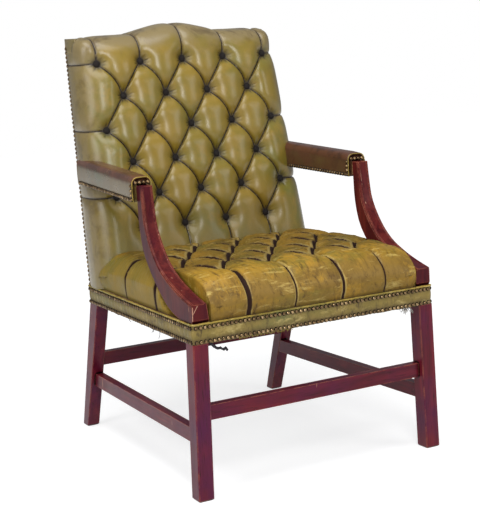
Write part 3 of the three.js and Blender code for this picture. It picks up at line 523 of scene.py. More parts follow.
def closed_shell(name, face, skirt, marks, material):
    """One piece from a grid of points, rings of points that run on from its rim, and a flat end. Each mark
    has its values on the face and on the rings."""
    index = np.arange(face.shape[0] * face.shape[1]).reshape(face.shape[:2])
    quads = [np.stack([index[:-1, :-1], index[:-1, 1:], index[1:, 1:], index[1:, :-1]], -1).reshape(-1, 4)]
    ring = rim_of(face.shape)
    for n in range(len(skirt)):
        below = index.size + n * len(ring) + np.arange(len(ring))
        quads.append(np.stack([ring, below, np.roll(below, -1), np.roll(ring, -1)], axis=-1))
        ring = below
    every = {key: np.concatenate([np.broadcast_to(on_face, index.shape).reshape(-1),
                                  np.broadcast_to(on_skirt, skirt.shape[:2]).reshape(-1)])
             for key, (on_face, on_skirt) in marks.items()}
    points = np.concatenate([face.reshape(-1, 3), skirt.reshape(-1, 3)])
    return new_piece(name, points, np.concatenate(quads).tolist() + [ring.tolist()], every, material)


def crest(x):
    """Height of the top edge of the back: flat shoulders and a hump in the middle."""
    hump, shoulder_drop, swell = 0.160, 0.024, 0.005
    wave = np.where(np.abs(x) < hump, 0.5 + 0.5 * np.cos(np.pi * np.clip(x / hump, -1, 1)), 0)
    return back_high.z - swell - shoulder_drop * (1 - wave)


def back_half(z):
    """Half the width of the back at a height."""
    foot, head = 0.302, 0.271
    return foot + (head - foot) * (z - back_low.z) / (back_high.z - back_low.z)


def build_back():
    cell = 2.5 * MM
    roll, roll_depth, roll_steps = 44 * MM, 50 * MM, 22
    crown, saddle, reach, fold_depth = 27 * MM, 12 * MM, 30 * MM, 5.0 * MM
    columns = across_lines(roll, roll_steps, int(2 * (0.29 - roll) / cell))
    tall = [(t, roll) for t in np.linspace(0, 1, int((1.02 - roll - back_low.z) / cell))]
    m, inset = np.array(columns).T
    t, below = np.array(tall + [(1, b) for _, b in columns[-roll_steps:]]).T[..., None]

    def grid_height(top):
        return np.where(below < roll, top - below, back_low.z + (top - roll - back_low.z) * t)

    u = m * (back_half(grid_height(crest(m * 0.28))) - inset)
    v = grid_height(crest(u))
    spots = [[(p.x, row[0].z) for p in row] for row in rows]
    pleats = [(here, there, math.copysign(5 * MM, there[0] - here[0]), 0) for here, there in joined(spots)]
    pleats += [((x * 1.01, 1.2), (x, z), 0, 0) for x, z in spots[0]]
    pleats += [((x, z), (x, 0.3), 0, 0) for x, z in spots[5]]
    for _, z in (spots[r][0] for r in (0, 2, 4)):
        pleats += [((sign * 0.4, z - 4 * MM), (sign * 2 * column_gap, z), 0, 0) for sign in (-1, 1)]
    inside = (np.abs(u) < back_half(v) - roll * 0.6) & (v < crest(u) - roll * 0.6)
    u, v = settled(u, v, inside, pleats, cell)
    buttons = [(p.x, p.z) for row in rows for p in row]
    height, fold, _, dirt_and_shade = stuffing(u, v, pleats, buttons, crown, saddle, reach, fold_depth, 0.7)
    to_side, to_crest = back_half(v) - np.abs(u), crest(u) - v
    from_edge = np.minimum(to_side, to_crest)
    height = height * (0.45 + 0.55 * smooth_step(from_edge, 0, 75 * MM))
    over_u, over_v = (np.clip((roll - away) / roll, 0, 1) for away in (to_side, to_crest))
    over = np.clip((over_u ** 4 + over_v ** 4) ** 0.25, 0, 1)
    rolled = roll_depth * (1 - np.sqrt(np.maximum(1 - over ** 2, 0)))
    face_y = top_button.y - 3 * MM + lean * (v - top_button.z)
    base = np.stack([u, face_y + rolled, v], axis=-1)
    sink = smooth_step(over, 0.75, 1) * 4 * MM
    face = base + normals_of(base) * (height - sink)[..., None]
    rim = rim_of(u.shape)
    steps, swell = 16, 2.5 * MM
    rim_u, rim_v = u.reshape(-1)[rim], v.reshape(-1)[rim]
    rear = np.stack([rim_u, panel_high.y - 3.6 * MM + lean * (rim_v - panel_high.z), rim_v], axis=-1)
    outward = np.stack([np.sign(rim_u) * (np.abs(rim_u) > back_half(rim_v) - 1 * MM),
                        np.zeros_like(rim_u), 1.0 * (rim_v > crest(rim_u) - 1 * MM)], axis=-1)
    share = np.arange(1, steps + 1)[:, None, None] / steps
    skirt = face.reshape(-1, 3)[rim] * (1 - share) + rear * share + outward * np.sin(np.pi * share) * swell
    # The back is made darker towards its bottom, away from its edges.
    darker_low_down = 0.28 * (1 - smooth_step(v, 0.47, 0.66)) * smooth_step(from_edge, 20 * MM, 90 * MM)
    rub = 0.6 * (1 - smooth_step(from_edge, 0, 55 * MM)) + 0.6 * smooth_step(v, 0.93, 1.05)
    marks = {"fold": (fold / MM, fold.reshape(-1)[rim] / MM), "dirt_and_shade": (np.maximum(dirt_and_shade, darker_low_down), 0),
             "rub": (rub, 0.6)}
    return closed_shell("buttoned_back", face, skirt, marks, back_hide)


back = build_back()
fixed(back, "back_pad")


# Buttons: small domed shells covered in the same hide, drawn down hard by twine into their pockets.
# Their hide is painted near black for the shade of the pockets. The hide is gathered under each one.
pocket_shaded_button_hide = hide("pocket_shaded_button_hide", ("#140c09", "#19100b", "#120e0a", "#20150f", "#33291a", "#080404"),
                   (0.5, 0.68), glaze=0.0)
button_radius, button_rise, button_sunk = 9.5 * MM, 5.5 * MM, 1.5 * MM


def tube(count, around, first=0):
    """Faces between rings of points that follow one another."""
    faces = []
    for start in range(first, first + (count - 1) * around, around):
        for k in range(around):
            j = (k + 1) % around
            faces.append((start + k, start + j, start + around + j, start + around + k))
    return faces


def dome(radius, height, segments=20, rings=5):
    """Points and faces of a low dome on its flat rim, with its middle at the origin facing +Z."""
    points = []
    for bend in (math.pi / 2 * k / rings for k in range(rings)):
        for spin in (2 * math.pi * i / segments for i in range(segments)):
            points.append((radius * math.cos(bend) * math.cos(spin), radius * math.cos(bend) * math.sin(spin),
                           height * math.sin(bend)))
    points.append((0, 0, height))
    top = (rings - 1) * segments
    faces = tube(rings, segments)
    faces += [(top + i, top + (i + 1) % segments, len(points) - 1) for i in range(segments)]
    faces.append(tuple(range(segments - 1, -1, -1)))
    return np.array(points), faces


def repeated(name, shape, places, facings, material, marks, tilt=0.0, seed=1):
    """One piece of many copies of a shape, each turned to face its own way."""
    points, faces = shape
    chance = np.random.default_rng(seed)
    every_point, every_face, tone = [], [], []
    for n, (place, facing) in enumerate(zip(places, facings)):
        aim = Vector(facing).normalized() + tilt * Vector(chance.normal(size=3))
        turn_to = np.array(aim.to_track_quat("Z", "Y").to_matrix())
        every_point.append(points @ turn_to.T + np.array(place))
        every_face += [tuple(i + n * len(points) for i in face) for face in faces]
        tone.append(np.full(len(points), chance.random()))
    rise = np.tile(points[:, 2] / points[:, 2].max(), len(places))
    marks = {**marks, "tone": np.concatenate(tone), "rise": rise}
    return new_piece(name, np.concatenate(every_point), every_face, marks, material, sharp=50)


button_shape = dome(button_radius, button_rise)
button_facing = Vector((0, -1, lean)).normalized()
for row, places in enumerate(rows, 1):
    for column, place in enumerate(places, 1):
        sunk = place - Vector((0, button_sunk, 0))
        piece = repeated(f"covered_button_{row}_{column}", button_shape, [sunk], [button_facing], pocket_shaded_button_hide,
                         {"fold": 9, "dirt_and_shade": 0.5, "rub": 0.2})
        fixed(piece, f"back_button_{row}_{column}")


# Outside back: one flat skin of the same hide over the back of the frame, turned in at its edges and
# nailed all round. It is less worn than the front.
outside_hide = hide("outside_hide", ("#74692f", "#7f7030", "#66693c", "#7d6a50", "#948b62", "#4a3820"),
                    (0.30, 0.45))


def build_outside_back():
    cell, thick, pad, nail_wave = 6 * MM, 3 * MM, 2.5 * MM, 23 * MM
    m, t = np.meshgrid(np.linspace(-1, 1, int(0.6 / cell)), np.linspace(0, 1, int(0.64 / cell)))

    def height_at(x):
        return panel_low.z + 1 * MM + (crest(x) + 3 * MM - panel_low.z) * t

    x = m * (back_half(height_at(m * 0.27)) - 0.5 * MM)
    z = height_at(x)
    rim = np.minimum(np.minimum(back_half(z) - np.abs(x), crest(x) + 4 * MM - z), z - panel_low.z)
    slack = pad * smooth_step(rim, 0, 60 * MM) * (1 + 0.25 * np.sin(9 * x + 4) * np.sin(7 * z))
    pull = 0.35 * MM * np.cos(2 * math.pi * (x + z) / nail_wave) * np.exp(-rim / (14 * MM))
    y = panel_high.y + lean * (z - panel_high.z) - 1.6 * MM + slack + pull
    face = np.stack([x, y, z], axis=-1)[:, ::-1]
    skirt = face.reshape(-1, 3)[rim_of(face.shape)][None] - np.array([0, thick, 0])
    rub = 0.7 * (1 - smooth_step(rim, 0, 45 * MM))[:, ::-1]
    marks = {"fold": (9, 9), "dirt_and_shade": (0, 0), "rub": (rub, 0.7)}
    return closed_shell("outside_back", face, skirt, marks, outside_hide)


fixed(build_outside_back(), "outside_back_panel")


# Seat: one buttoned hide over hair and springs, drawn down to the rails. Its pleats have split open
# along the folds, and the glaze is rubbed off in streaks, down to yellow and brown skin.
seat_hide = hide("seat_hide", ("#82671b", "#a57e27", "#746c2b", "#83662a", "#bda35a", "#4c3413"),
                 (0.42, 0.62), worn=1.0, glaze=0.06, gap_shade_tone="#26130b")
rail_low, rail_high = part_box("rail_band")
band_stand = 2.4 * MM
front_face = rail_low.y + band_stand
seat_row_pitch = 88.5 * MM
seat_rows = [front_face + 103 * MM + r * seat_row_pitch for r in range(6)]
seat_button_height = 0.4815
foot_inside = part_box("right_arm_support")[0].x - 0.7 * MM
heel_depths = (67 * MM, 97 * MM, 126 * MM, 170 * MM, 208 * MM, 240 * MM)
heel_heights = (0.401, 0.409, 0.421, 0.453, 0.488, 0.529)


def seat_half(y):
    """Half the width of the seat at a depth: it narrows towards the back."""
    front_half, rear_half = 0.3155, 0.3025
    return front_half + (rear_half - front_half) * (y - rail_low.y) / (rail_high.y - rail_low.y)


def clear_of_support(points):
    """Keeps the hide on the inside of the arm supports and above their heels."""
    x, y, z = points[..., 0], points[..., 1], points[..., 2]
    heel = front_face + np.interp(z, heel_heights, heel_depths)
    caught = (np.abs(x) > foot_inside) & (y < heel + 1.5 * MM)
    tucked_down = np.maximum(z - 0.9 * (np.abs(x) - foot_inside), rail_high.z + 1 * MM)
    points[..., 2] = np.where(caught, np.minimum(z, tucked_down), z)
    points[..., 0] = np.where(caught, np.sign(x) * foot_inside, x)
    return points


def seat_pleats(spots):
    """Pleats between the buttons and from them to the front and sides, with how far each has split."""
    pleats = []
    for here, there in joined(spots):
        if there[0] < here[0]:
            pleats.append((there, here, -3 * MM, 1.8 * MM))
        else:
            pleats.append((here, there, 5 * MM, 2.0 * MM))
    for spot, (end, gap) in zip(spots[0], ((-176, 3.6), (-55, 0.6), (74, 1.6), (186, 0.3))):
        pleats.append((spot, (end * MM, front_face - 60 * MM), 0, gap * MM * 1.3))
    for r in (1, 3, 5):
        for sign in (-1, 1):
            gap = 3.4 * MM if sign < 0 and r == 1 else 0.5 * MM
            outside, spot = (sign * 0.40, seat_rows[r] + 4 * MM), (sign * 2 * column_gap, seat_rows[r])
            pleats.append((outside, spot, 0, gap))
    return pleats


def rippled(u, v):
    """Shallow waves in all directions, from years of sitting."""
    chance = np.random.default_rng(8)
    height = np.zeros(u.shape)
    for _ in range(16):
        heading = chance.random() * math.pi
        length = (8 + 14 * chance.random()) * MM
        phase = chance.random() * 6.3
        bent = 0.6 * np.sin(37 * (u * math.sin(heading) - v * math.cos(heading)) + 2 * phase)
        along = u * math.cos(heading) + v * math.sin(heading)
        height += 0.16 * MM * np.sin(2 * math.pi * along / length + phase + bent)
    return height


def rounded_sides(face, skirt, weight):
    """Smooths the line where the face of the seat turns down into its sides, as far as weight says."""
    rim = rim_of(face.shape)
    deep, wide = face.shape[:2]
    rings = [np.clip(rim // wide, k, deep - 1 - k) * wide + np.clip(rim % wide, k, wide - 1 - k)
             for k in (6, 5, 4, 3, 2, 1, 0)]
    flat = face.reshape(-1, 3)
    strip = np.concatenate([flat[np.array(rings)], skirt])
    smooth = strip.copy()
    for _ in range(40):
        smooth[1:-1] += 0.5 * ((smooth[:-2] + smooth[2:]) / 2 - smooth[1:-1])
    strip += (smooth - strip) * weight[:, None]
    for ring, points in zip(rings, strip):
        flat[ring] = points
    return flat.reshape(face.shape), strip[len(rings):]


def build_seat(spots):
    cell, roll_steps = 2.45 * MM, 26
    front_roll, front_drop, side_roll, side_drop, back_roll = 92 * MM, 52 * MM, 62 * MM, 46 * MM, 50 * MM
    crown, saddle, reach, fold_depth = 15 * MM, 8.5 * MM, 26 * MM, 4.5 * MM
    seat_top, middle_rise, rear_dip, foot_dip, most_drop = 0.4845, 3 * MM, 6 * MM, 14 * MM, 55 * MM
    tuck_depth, tuck_width = 14 * MM, 7 * MM
    back_front = top_button.y + lean * (0.47 - top_button.z) - 20 * MM

    def rear_line(x):
        over = np.clip((np.abs(x) - (0.300 - back_roll)) / back_roll, 0, 1)
        return back_front + back_roll * (1 - np.sqrt(1 - over ** 2 * 0.98))

    m, inset = np.array(across_lines(side_roll, roll_steps, int(2 * (0.31 - side_roll) / cell))).T
    levels = [(0, b) for _, b in across_lines(front_roll, roll_steps, 0)[:roll_steps]]
    levels += [(t, front_roll) for t in np.linspace(0, 1, int(0.42 / cell))]
    t, behind = np.array(levels).T[..., None]
    u = m * (seat_half(front_face + (back_front - front_face) * t) - 1 * MM - inset)
    front = front_face - 5 * MM + 5 * MM * smooth_step(np.abs(u), foot_inside - 16 * MM, foot_inside)
    v = front + behind + (rear_line(u) - front - behind) * t
    pleats = seat_pleats(spots)
    inside = (np.abs(u) < seat_half(v) - side_roll * 0.5) & (v > front_face + front_roll * 0.25)
    inside &= v < rear_line(u) - 2 * cell
    u, v = settled(u, v, inside, pleats, cell)
    buttons = [spot for row in spots for spot in row]
    height, fold, side, dirt_and_shade = stuffing(u, v, pleats, buttons, crown, saddle, reach, fold_depth, 2.2)
    on_top = smooth_step(v, seat_rows[0] - 10 * MM, seat_rows[0] + 25 * MM)
    height += on_top * np.where(side > 0, 3.0 * MM, -2.2 * MM) * np.exp(-fold / (9 * MM))
    fold = np.where((side > 0) & (on_top > 0.5), fold * 0.45, fold)
    sag = np.sin(61 * u + 3 * np.sin(23 * v)) * np.sin(47 * v + 2 * np.sin(31 * u))
    height += 0.9 * MM * sag * smooth_step(fold, 0, 15 * MM) + rippled(u, v)
    over_u = np.clip((side_roll - (seat_half(v) - 1 * MM - np.abs(u))) / side_roll, 0, 1)
    over_v = np.clip((front_roll - (v - front_face + 5 * MM)) / front_roll, 0, 1)
    fall_u = 1 - np.sqrt(np.maximum(1 - over_u ** 2, 0))
    fall_v = 1 - np.sqrt(np.maximum(1 - over_v ** 2.2, 0))
    plane = seat_top + middle_rise * np.cos(u / 0.3 * 1.4) - rear_dip * smooth_step(v, -0.05, 0.16)
    behind_foot = smooth_step(v - front_face, 85 * MM, 185 * MM)
    drop = side_drop * fall_u * (0.2 + 0.8 * behind_foot) + front_drop * fall_v
    drop += foot_dip * smooth_step(np.abs(u), 0.19, 0.315) * (1 - behind_foot)
    to_back = rear_line(u) - v
    tuck = tuck_depth * np.exp(-to_back / tuck_width)
    base = np.stack([u, v, plane - np.minimum(drop, most_drop) - tuck], axis=-1)
    rim_near = np.maximum(over_u, over_v)
    height *= 1 - 0.7 * smooth_step(rim_near, 0.45, 1)
    face = base + normals_of(base) * height[..., None]
    face[..., 1] = np.minimum(face[..., 1], rear_line(face[..., 0]) + 2 * MM)

    rim = rim_of(u.shape)
    rim_u, rim_v = u.reshape(-1)[rim], v.reshape(-1)[rim]
    on_side = np.abs(rim_u) > seat_half(rim_v) - 4 * MM
    on_front = rim_v < front_face + 3 * MM
    edge = face.reshape(-1, 3)[rim]
    foot = edge.copy()
    foot[:, 2] = rail_high.z + 1.5 * MM
    foot[:, 0] = np.where(on_side, np.sign(foot[:, 0]) * (seat_half(foot[:, 1]) - 2.5 * MM), foot[:, 0])
    foot[:, 1] = np.where(on_front, front_face + 1.5 * MM, foot[:, 1])
    steps = 12
    share = np.arange(1, steps + 1)[:, None] / steps
    eased = smooth_step(share, 0, 1)[..., None]
    skirt = edge * (1 - eased) + foot * eased
    skirt[..., 2] = edge[:, 2] + (foot[:, 2] - edge[:, 2]) * share
    bulge = np.sin(np.pi * share) ** 2 * 2.0 * MM
    skirt[..., 1] -= np.where(on_front, bulge, 0)
    skirt[..., 0] += np.where(on_side, np.sign(skirt[..., 0]) * bulge, 0)
    weight = on_side * smooth_step(rim_v, front_face + 60 * MM, front_face + 100 * MM)
    weight = weight * (1 - smooth_step(rim_v, back_front - 30 * MM, back_front - 5 * MM))
    face, skirt = rounded_sides(clear_of_support(face), clear_of_support(skirt), weight)

    # Painted shade: dark in the tuck against the back, and below along the foot of the skirt by the rail. The
    # middle of the top is dirty.
    dirt_and_shade = np.maximum(dirt_and_shade, np.exp(-to_back / (6 * MM)) * 0.8)
    dirt_and_shade = np.maximum(dirt_and_shade, 0.4 * on_top * (1 - smooth_step(rim_near, 0.1, 0.7)))
    sound = 0.85 * smooth_step(over_u, 0.15, 0.6) * behind_foot
    marks = {"fold": (fold / MM, fold.reshape(-1)[rim] / MM),
             "dirt_and_shade": (dirt_and_shade, 0.55 * smooth_step(share, 0.75, 1.0)),
             "rub": (0.8 * smooth_step(over_v, 0.35, 0.95), np.where(on_side, 0.1, 0.5)),
             "sound": (sound, sound.reshape(-1)[rim])}
    return closed_shell("buttoned_seat", face, skirt, marks, seat_hide)


seat_spots = []
for r, depth in enumerate(seat_rows):
    columns = range(4) if r % 2 == 0 else range(5)
    seat_spots.append([((c - columns[-1] / 2) * column_gap, depth) for c in columns])
seat = build_seat(seat_spots)
fixed(seat, "seat_pad")
seat_buttons = [spot for row in seat_spots[:4] for spot in row]
for n, (x, y) in enumerate(seat_buttons, 1):
    piece = repeated(f"seat_button_{n}", button_shape, [(x, y, seat_button_height)], [(0, 0, 1)], pocket_shaded_button_hide,
                     {"fold": 9, "dirt_and_shade": 0.3, "rub": 0.3})
    fixed(piece)


# Rail band: a strip of hide round the seat rails, with a rolled welt along its top and a ragged edge
# below, fixed by two rows of nails. The welt is rubbed to bright yellow.
band_hide = hide("band_hide", ("#7d6c31", "#8f7a3c", "#6d6c3c", "#857040", "#b7a264", "#4a3a20"),
                 (0.42, 0.6), worn=0.35, glaze=0.1)
welt_hide = hide("welt_hide", ("#8d7a30", "#ab913f", "#7f7838", "#94803c", "#d8c47e", "#5a4520"),
                 (0.4, 0.55), worn=0.6, glaze=0.1)


def round_rail(outset, step, corner=6 * MM):
    """Points and outward directions round the seat rails, at a distance outside the band's inner face."""
    half_front, half_rear = 0.317, 0.304
    near, far = front_face, rail_high.y - band_stand
    corners = [Vector(c) for c in ((-half_front, near), (half_front, near),
                                   (half_rear, far), (-half_rear, far))]
    path = []
    for i, here in enumerate(corners):
        following = corners[(i + 1) % 4]
        into = (here - corners[i - 1]).normalized()
        out = (following - here).normalized()
        start, end = here - into * corner, here + out * corner
        side_in, side_out = Vector((into.y, -into.x)), Vector((out.y, -out.x))
        centre = start - side_in * corner
        turns = 6
        for k in range(turns + 1):
            share = k / turns
            facing = (side_in * (1 - share) + side_out * share).normalized()
            path.append((centre.lerp(end - side_out * corner, share) + facing * (corner + outset), facing))
        length = (following - here).length - 2 * corner
        count = max(2, round(length / step))
        for k in range(1, count):
            path.append((end + out * (length * k / count) + side_out * outset, side_out))
    return path


def ring_band(name, rings, marks, material, stands_for=None):
    """A closed band: rings of points round the chair, each joined to the next, first to last."""
    rings = np.array(rings)
    index = np.arange(rings.shape[0] * rings.shape[1]).reshape(rings.shape[:2])
    following = np.roll(index, -1, axis=0)
    quads = np.stack([index, following, np.roll(following, -1, axis=1), np.roll(index, -1, axis=1)], axis=-1)
    marks = {key: np.broadcast_to(value, index.shape).reshape(-1) for key, value in marks.items()}
    piece = new_piece(name, rings.reshape(-1, 3), quads.reshape(-1, 4).tolist(), marks, material)
    fixed(piece, stands_for)


path = round_rail(0, 4 * MM)
chance = np.random.default_rng(5)
ragged = np.convolve(chance.normal(size=len(path) + 8), np.ones(3) / 3, "same")[:len(path)]
long_wave = np.convolve(chance.normal(size=len(path) + 60), np.ones(25) / 5, "same")[:len(path)]
band_top = rail_high.z - 1 * MM
band_profile = ((-1.2, 0), (0.4, 0), (0.9, 4), (0.2, 9), (1.1, 14), (1.6, 21), (1.1, 29), (0.2, 35),
                (0.8, 40))
rings = []
for n, (place, facing) in enumerate(path):
    low = rail_low.z - 1.2 * MM + 0.9 * MM * ragged[n] + 0.8 * MM * long_wave[n]
    profile = [(out, band_top - down * MM) for out, down in band_profile]
    profile += [(1.3, low), (0.2, low - 0.3 * MM), (-1.2, low)]
    wave = 0.4 * math.sin(n * 1.3) + 0.3 * math.sin(n * 0.31)
    rings.append([(*(place + facing * (out + wave * (2 < k < 8)) * MM), z)
                  for k, (out, z) in enumerate(profile)])
rub = (0.3, 0.3, 0.2, 0.5, 0.3, 0.2, 0.3, 0.6, 0.8, 1, 1, 1)
# Painted shade, darkest under the welt and in the two hollows of the band's profile.
dirt_and_shade = (0.6, 0.5, 0.25, 0.45, 0.1, 0, 0.1, 0.45, 0.35, 0.2, 0.2, 0.2)
ring_band("rail_band_strip", rings, {"fold": 9, "dirt_and_shade": dirt_and_shade, "rub": rub}, band_hide, "rail_band")

welt_radius, welt_sides = 2.2 * MM, 10
rings = []
for n, (place, facing) in enumerate(round_rail(1.6 * MM, 4 * MM)):
    lift = rail_high.z - 1.2 * MM + 0.3 * MM * math.sin(n * 0.7)
    size = welt_radius * (1 + 0.05 * math.sin(n * 1.9))
    rings.append([(*(place + facing * size * math.cos(a)), lift + size * math.sin(a))
                  for a in (2 * math.pi * k / welt_sides for k in range(welt_sides))])
ring_band("rail_welt", rings, {"fold": 9, "dirt_and_shade": 0.0, "rub": 0.15}, welt_hide)


# Nails: domed antique brass nails set edge to edge, black with age round their rims and rubbed on
# their crowns. Two rows hold the band, and one row each follows the side edges and top of the back.
def antique_brass():
    material, tree = new_finish("antique_brass")
    tone, rise = (add(tree, "Attribute", give="Fac", attribute_name=key) for key in ("tone", "rise"))
    mottle = noise(tree, stretched(tree), 320, 3)
    metal = ramp(tree, tone, ((0.0, "#6a5334"), (0.5, "#927650"), (1.0, "#bfa276")))
    metal = mix(tree, spread(tree, mottle, 0.45, 0.65), metal, "#4a3722")
    metal = mix(tree, spread(tree, rise, 0.9, 0.5), metal, "#1c120b")
    dull = add(tree, "MapRange", {0: mottle, 1: 0.35, 2: 0.65, 3: 0.22, 4: 0.45})
    coated(tree, {"Base Color": metal, "Metallic": 0.75, "Roughness": dull})
    return material


brass = antique_brass()
nail_pitch = 10.9 * MM
nail_shape = dome(5.0 * MM, 4.2 * MM, 14, 5)


def nails(name, places, facings, seed):
    fixed(repeated(name, nail_shape, places, facings, brass, {}, tilt=0.05, seed=seed))


def nail_row(name, line, facings, seed):
    """Nails one pitch apart along a line of close points."""
    picked = [0]
    for n, point in enumerate(line):
        if (point - line[picked[-1]]).length >= nail_pitch:
            picked.append(n)
    nails(name, [line[n] for n in picked], [facings[n] for n in picked], seed)


nail_path = round_rail(0.3 * MM, 1 * MM, 7 * MM)
for name, height, seed in (("upper_rail_nails", rail_high.z - 8.6 * MM, 11),
                           ("lower_rail_nails", rail_low.z + 3.2 * MM, 12)):
    nail_row(name, [Vector((*place, height)) for place, _ in nail_path],
             [(*facing, 0) for _, facing in nail_path], seed)

back_edge_inset = 8 * MM
for side, sign in (("left", -1), ("right", 1)):
    line = []
    for z in np.arange(rail_high.z + 4 * MM, crest(0.27) - 10 * MM, 1 * MM):
        y = panel_high.y - back_edge_inset + lean * (z - panel_high.z)
        line.append(Vector((sign * (back_half(z) - 0.2 * MM), y, z)))
    nail_row(f"{side}_back_edge_nails", line, [(sign, 0, 0)] * len(line), 13)
line = []
for x in np.arange(-0.262, 0.262, 1 * MM):
    z = float(crest(x)) - 5 * MM
    line.append(Vector((x, panel_high.y - 1.4 * MM + lean * (z - panel_high.z), z)))
nail_row("crest_nails", line, [(0, 1, -lean)] * len(line), 14)


# Arm pads: stuffing on the arm rails under one hide, swollen between its nailed edges, glossy and rubbed
# brown on top. The hide ends behind the head of the arm support, with its raw edge showing yellow.
arm_hide = hide("arm_hide", ("#5f5029", "#6b582e", "#52522f", "#5e3825", "#8d8060", "#22100c"),
                (0.24, 0.38), glaze=0.3)
pad_front, pad_rear = (corner.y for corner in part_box("right_arm_pad"))
back_cut = ((0.150, 0.175, 0.1848, 0.1937, 0.2039, 0.2168, 0.235, 0.275),
            (0.230, 0.240, 0.2580, 0.2706, 0.2850, 0.2894, 0.2929, 0.2932))
head_nail_height = 0.6885


def pad_section(y):
    """Centre, half width, bottom and top of the right arm pad at a depth."""
    share = (y - pad_front) / (pad_rear - pad_front)
    return 0.2948 - 0.0178 * share, 0.0245 - 0.0008 * share, 0.645 + 0.0144 * share, 0.6995 + 0.0185 * share


def pad_ring(y, ease, crown):
    """Points round the pad: up its outer side, over the top, down the inner side and back below."""
    middle, half, low, high = pad_section(y)
    half, high = half - ease, high - ease
    curve = 14 * MM
    high += 2 * MM
    ring = [(half, low + (high - curve - low) * k / 9) for k in range(9)]
    for bend in (math.pi / 2 * k / 8 for k in range(9)):
        ring.append((half - curve + curve * math.cos(bend), high - curve + curve * math.sin(bend)))
    ring += [((half - curve) * (1 - 2 * k / 7), high) for k in range(1, 7)]
    ring += [(-a, b) for a, b in reversed(ring[:18])]
    ring += [(-half + 2 * half * k / 10, low) for k in range(1, 10)]
    points = []
    for a, b in ring:
        lift = crown * max(0, 1 - (a / half) ** 2) * (b > (low + high) / 2)
        up = min(1, max(0, (b - low) / (high - low)))
        out = 0.8 * MM * math.sin(math.pi * up) * math.copysign(1, a)
        points.append((max(middle + a + out, float(np.interp(y, *back_cut))), y, b + lift))
    return points


def swollen(piece, pinned, most):
    """Lets a closed cover swell under pressure between its pinned points, by no more than a distance."""
    mesh = piece.data
    rest = np.empty(len(mesh.vertices) * 3)
    mesh.vertices.foreach_get("co", rest)
    group = piece.vertex_groups.new(name="nailed")
    group.add([int(n) for n in pinned], 1.0, "REPLACE")
    cloth = piece.modifiers.new("swelling", "CLOTH")
    for key, value in (("quality", 6), ("mass", 0.4), ("use_pressure", True), ("uniform_pressure_force", 4),
                       ("vertex_group_mass", "nailed"), ("tension_stiffness", 25),
                       ("compression_stiffness", 12), ("bending_stiffness", 1.5)):
        setattr(cloth.settings, key, value)
    cloth.settings.effector_weights.gravity = 0
    cloth.collision_settings.use_collision = False
    for step in range(1, 21):
        scene.frame_set(step)
    after = np.empty_like(rest)
    piece.evaluated_get(bpy.context.evaluated_depsgraph_get()).data.vertices.foreach_get("co", after)
    piece.modifiers.remove(cloth)
    piece.vertex_groups.remove(group)
    scene.frame_set(1)
    moved = (after - rest).reshape(-1, 3)
    moved *= np.minimum(1, most / np.maximum(np.linalg.norm(moved, axis=1, keepdims=True), 1e-9))
    mesh.vertices.foreach_set("co", (rest.reshape(-1, 3) + moved).reshape(-1))
    mesh.update()


def build_arm_pad(side, sign, low_rub, top_rub, darker_all_over):
    """A pad with its ends drawn in, rubbed more on top than low down, with painted shade along its foot and
    an even darkening all over by a given share.
    """
    stations = [(pad_front + y * MM, ease * MM) for y, ease in ((0.6, 3.2), (1.2, 1.6), (3, 0.4))]
    stations += [(y, 0) for y in np.linspace(pad_front + 6 * MM, pad_rear, 92)]
    rings = [pad_ring(y, ease, 2.2 * MM * min(1, (y - pad_front) / (30 * MM))) for y, ease in stations]
    around = len(rings[0])
    points = np.array(rings).reshape(-1, 3)
    points[:, 0] *= sign
    faces = tube(len(rings), around)
    for first, order in ((0, -1), ((len(rings) - 1) * around, 1)):
        edge = np.arange(first, first + around)
        inner = np.arange(len(points), len(points) + around)
        heart = points[edge].mean(axis=0)
        points = np.concatenate([points, heart + (points[edge] - heart) * 0.6])
        end = np.stack([edge, inner, np.roll(inner, -1), np.roll(edge, -1)], axis=-1).tolist()
        faces += [face[::order] for face in end + [inner.tolist()]]
    if sign > 0:
        faces = [face[::-1] for face in faces]
    y = points[:, 1]
    _, _, low, high = pad_section(y)
    up = np.clip((points[:, 2] - low) / (high - low), 0, 1)
    # Painted shade along the foot of the pad, where it meets the rail.
    marks = {"fold": 9.0, "dirt_and_shade": np.maximum(0.5 * (1 - smooth_step(up, 0.0, 0.12)), darker_all_over),
             "rub": low_rub + (top_rub - low_rub) * smooth_step(up, 0.62, 0.95)}
    piece = new_piece(f"{side}_arm_cover", points, faces, marks, arm_hide)
    held = (up < 0.12) | (y < pad_front + 3.5 * MM) | (y > 0.15)
    swollen(piece, np.flatnonzero(held), 4 * MM)
    fixed(piece, f"{side}_arm_pad")


def strands(name, paths, radius, material, marks, sides=6):
    """One piece of round strands, each along its own path."""
    points, faces = [], []
    for path in paths:
        first = len(points)
        for n, here in enumerate(path):
            run = path[min(n + 1, len(path) - 1)] - path[max(n - 1, 0)]
            turn_to = run.to_track_quat("Z", "Y").to_matrix()
            for bend in (2 * math.pi * k / sides for k in range(sides)):
                points.append(here + turn_to @ Vector((radius * math.cos(bend), radius * math.sin(bend), 0)))
        faces += tube(len(path), sides, first)
        faces.append(tuple(range(first + sides - 1, first - 1, -1)))
        faces.append(tuple(range(len(points) - sides, len(points))))
    fixed(new_piece(name, points, faces, marks, material))


middle, half, low, _ = pad_section(pad_front)
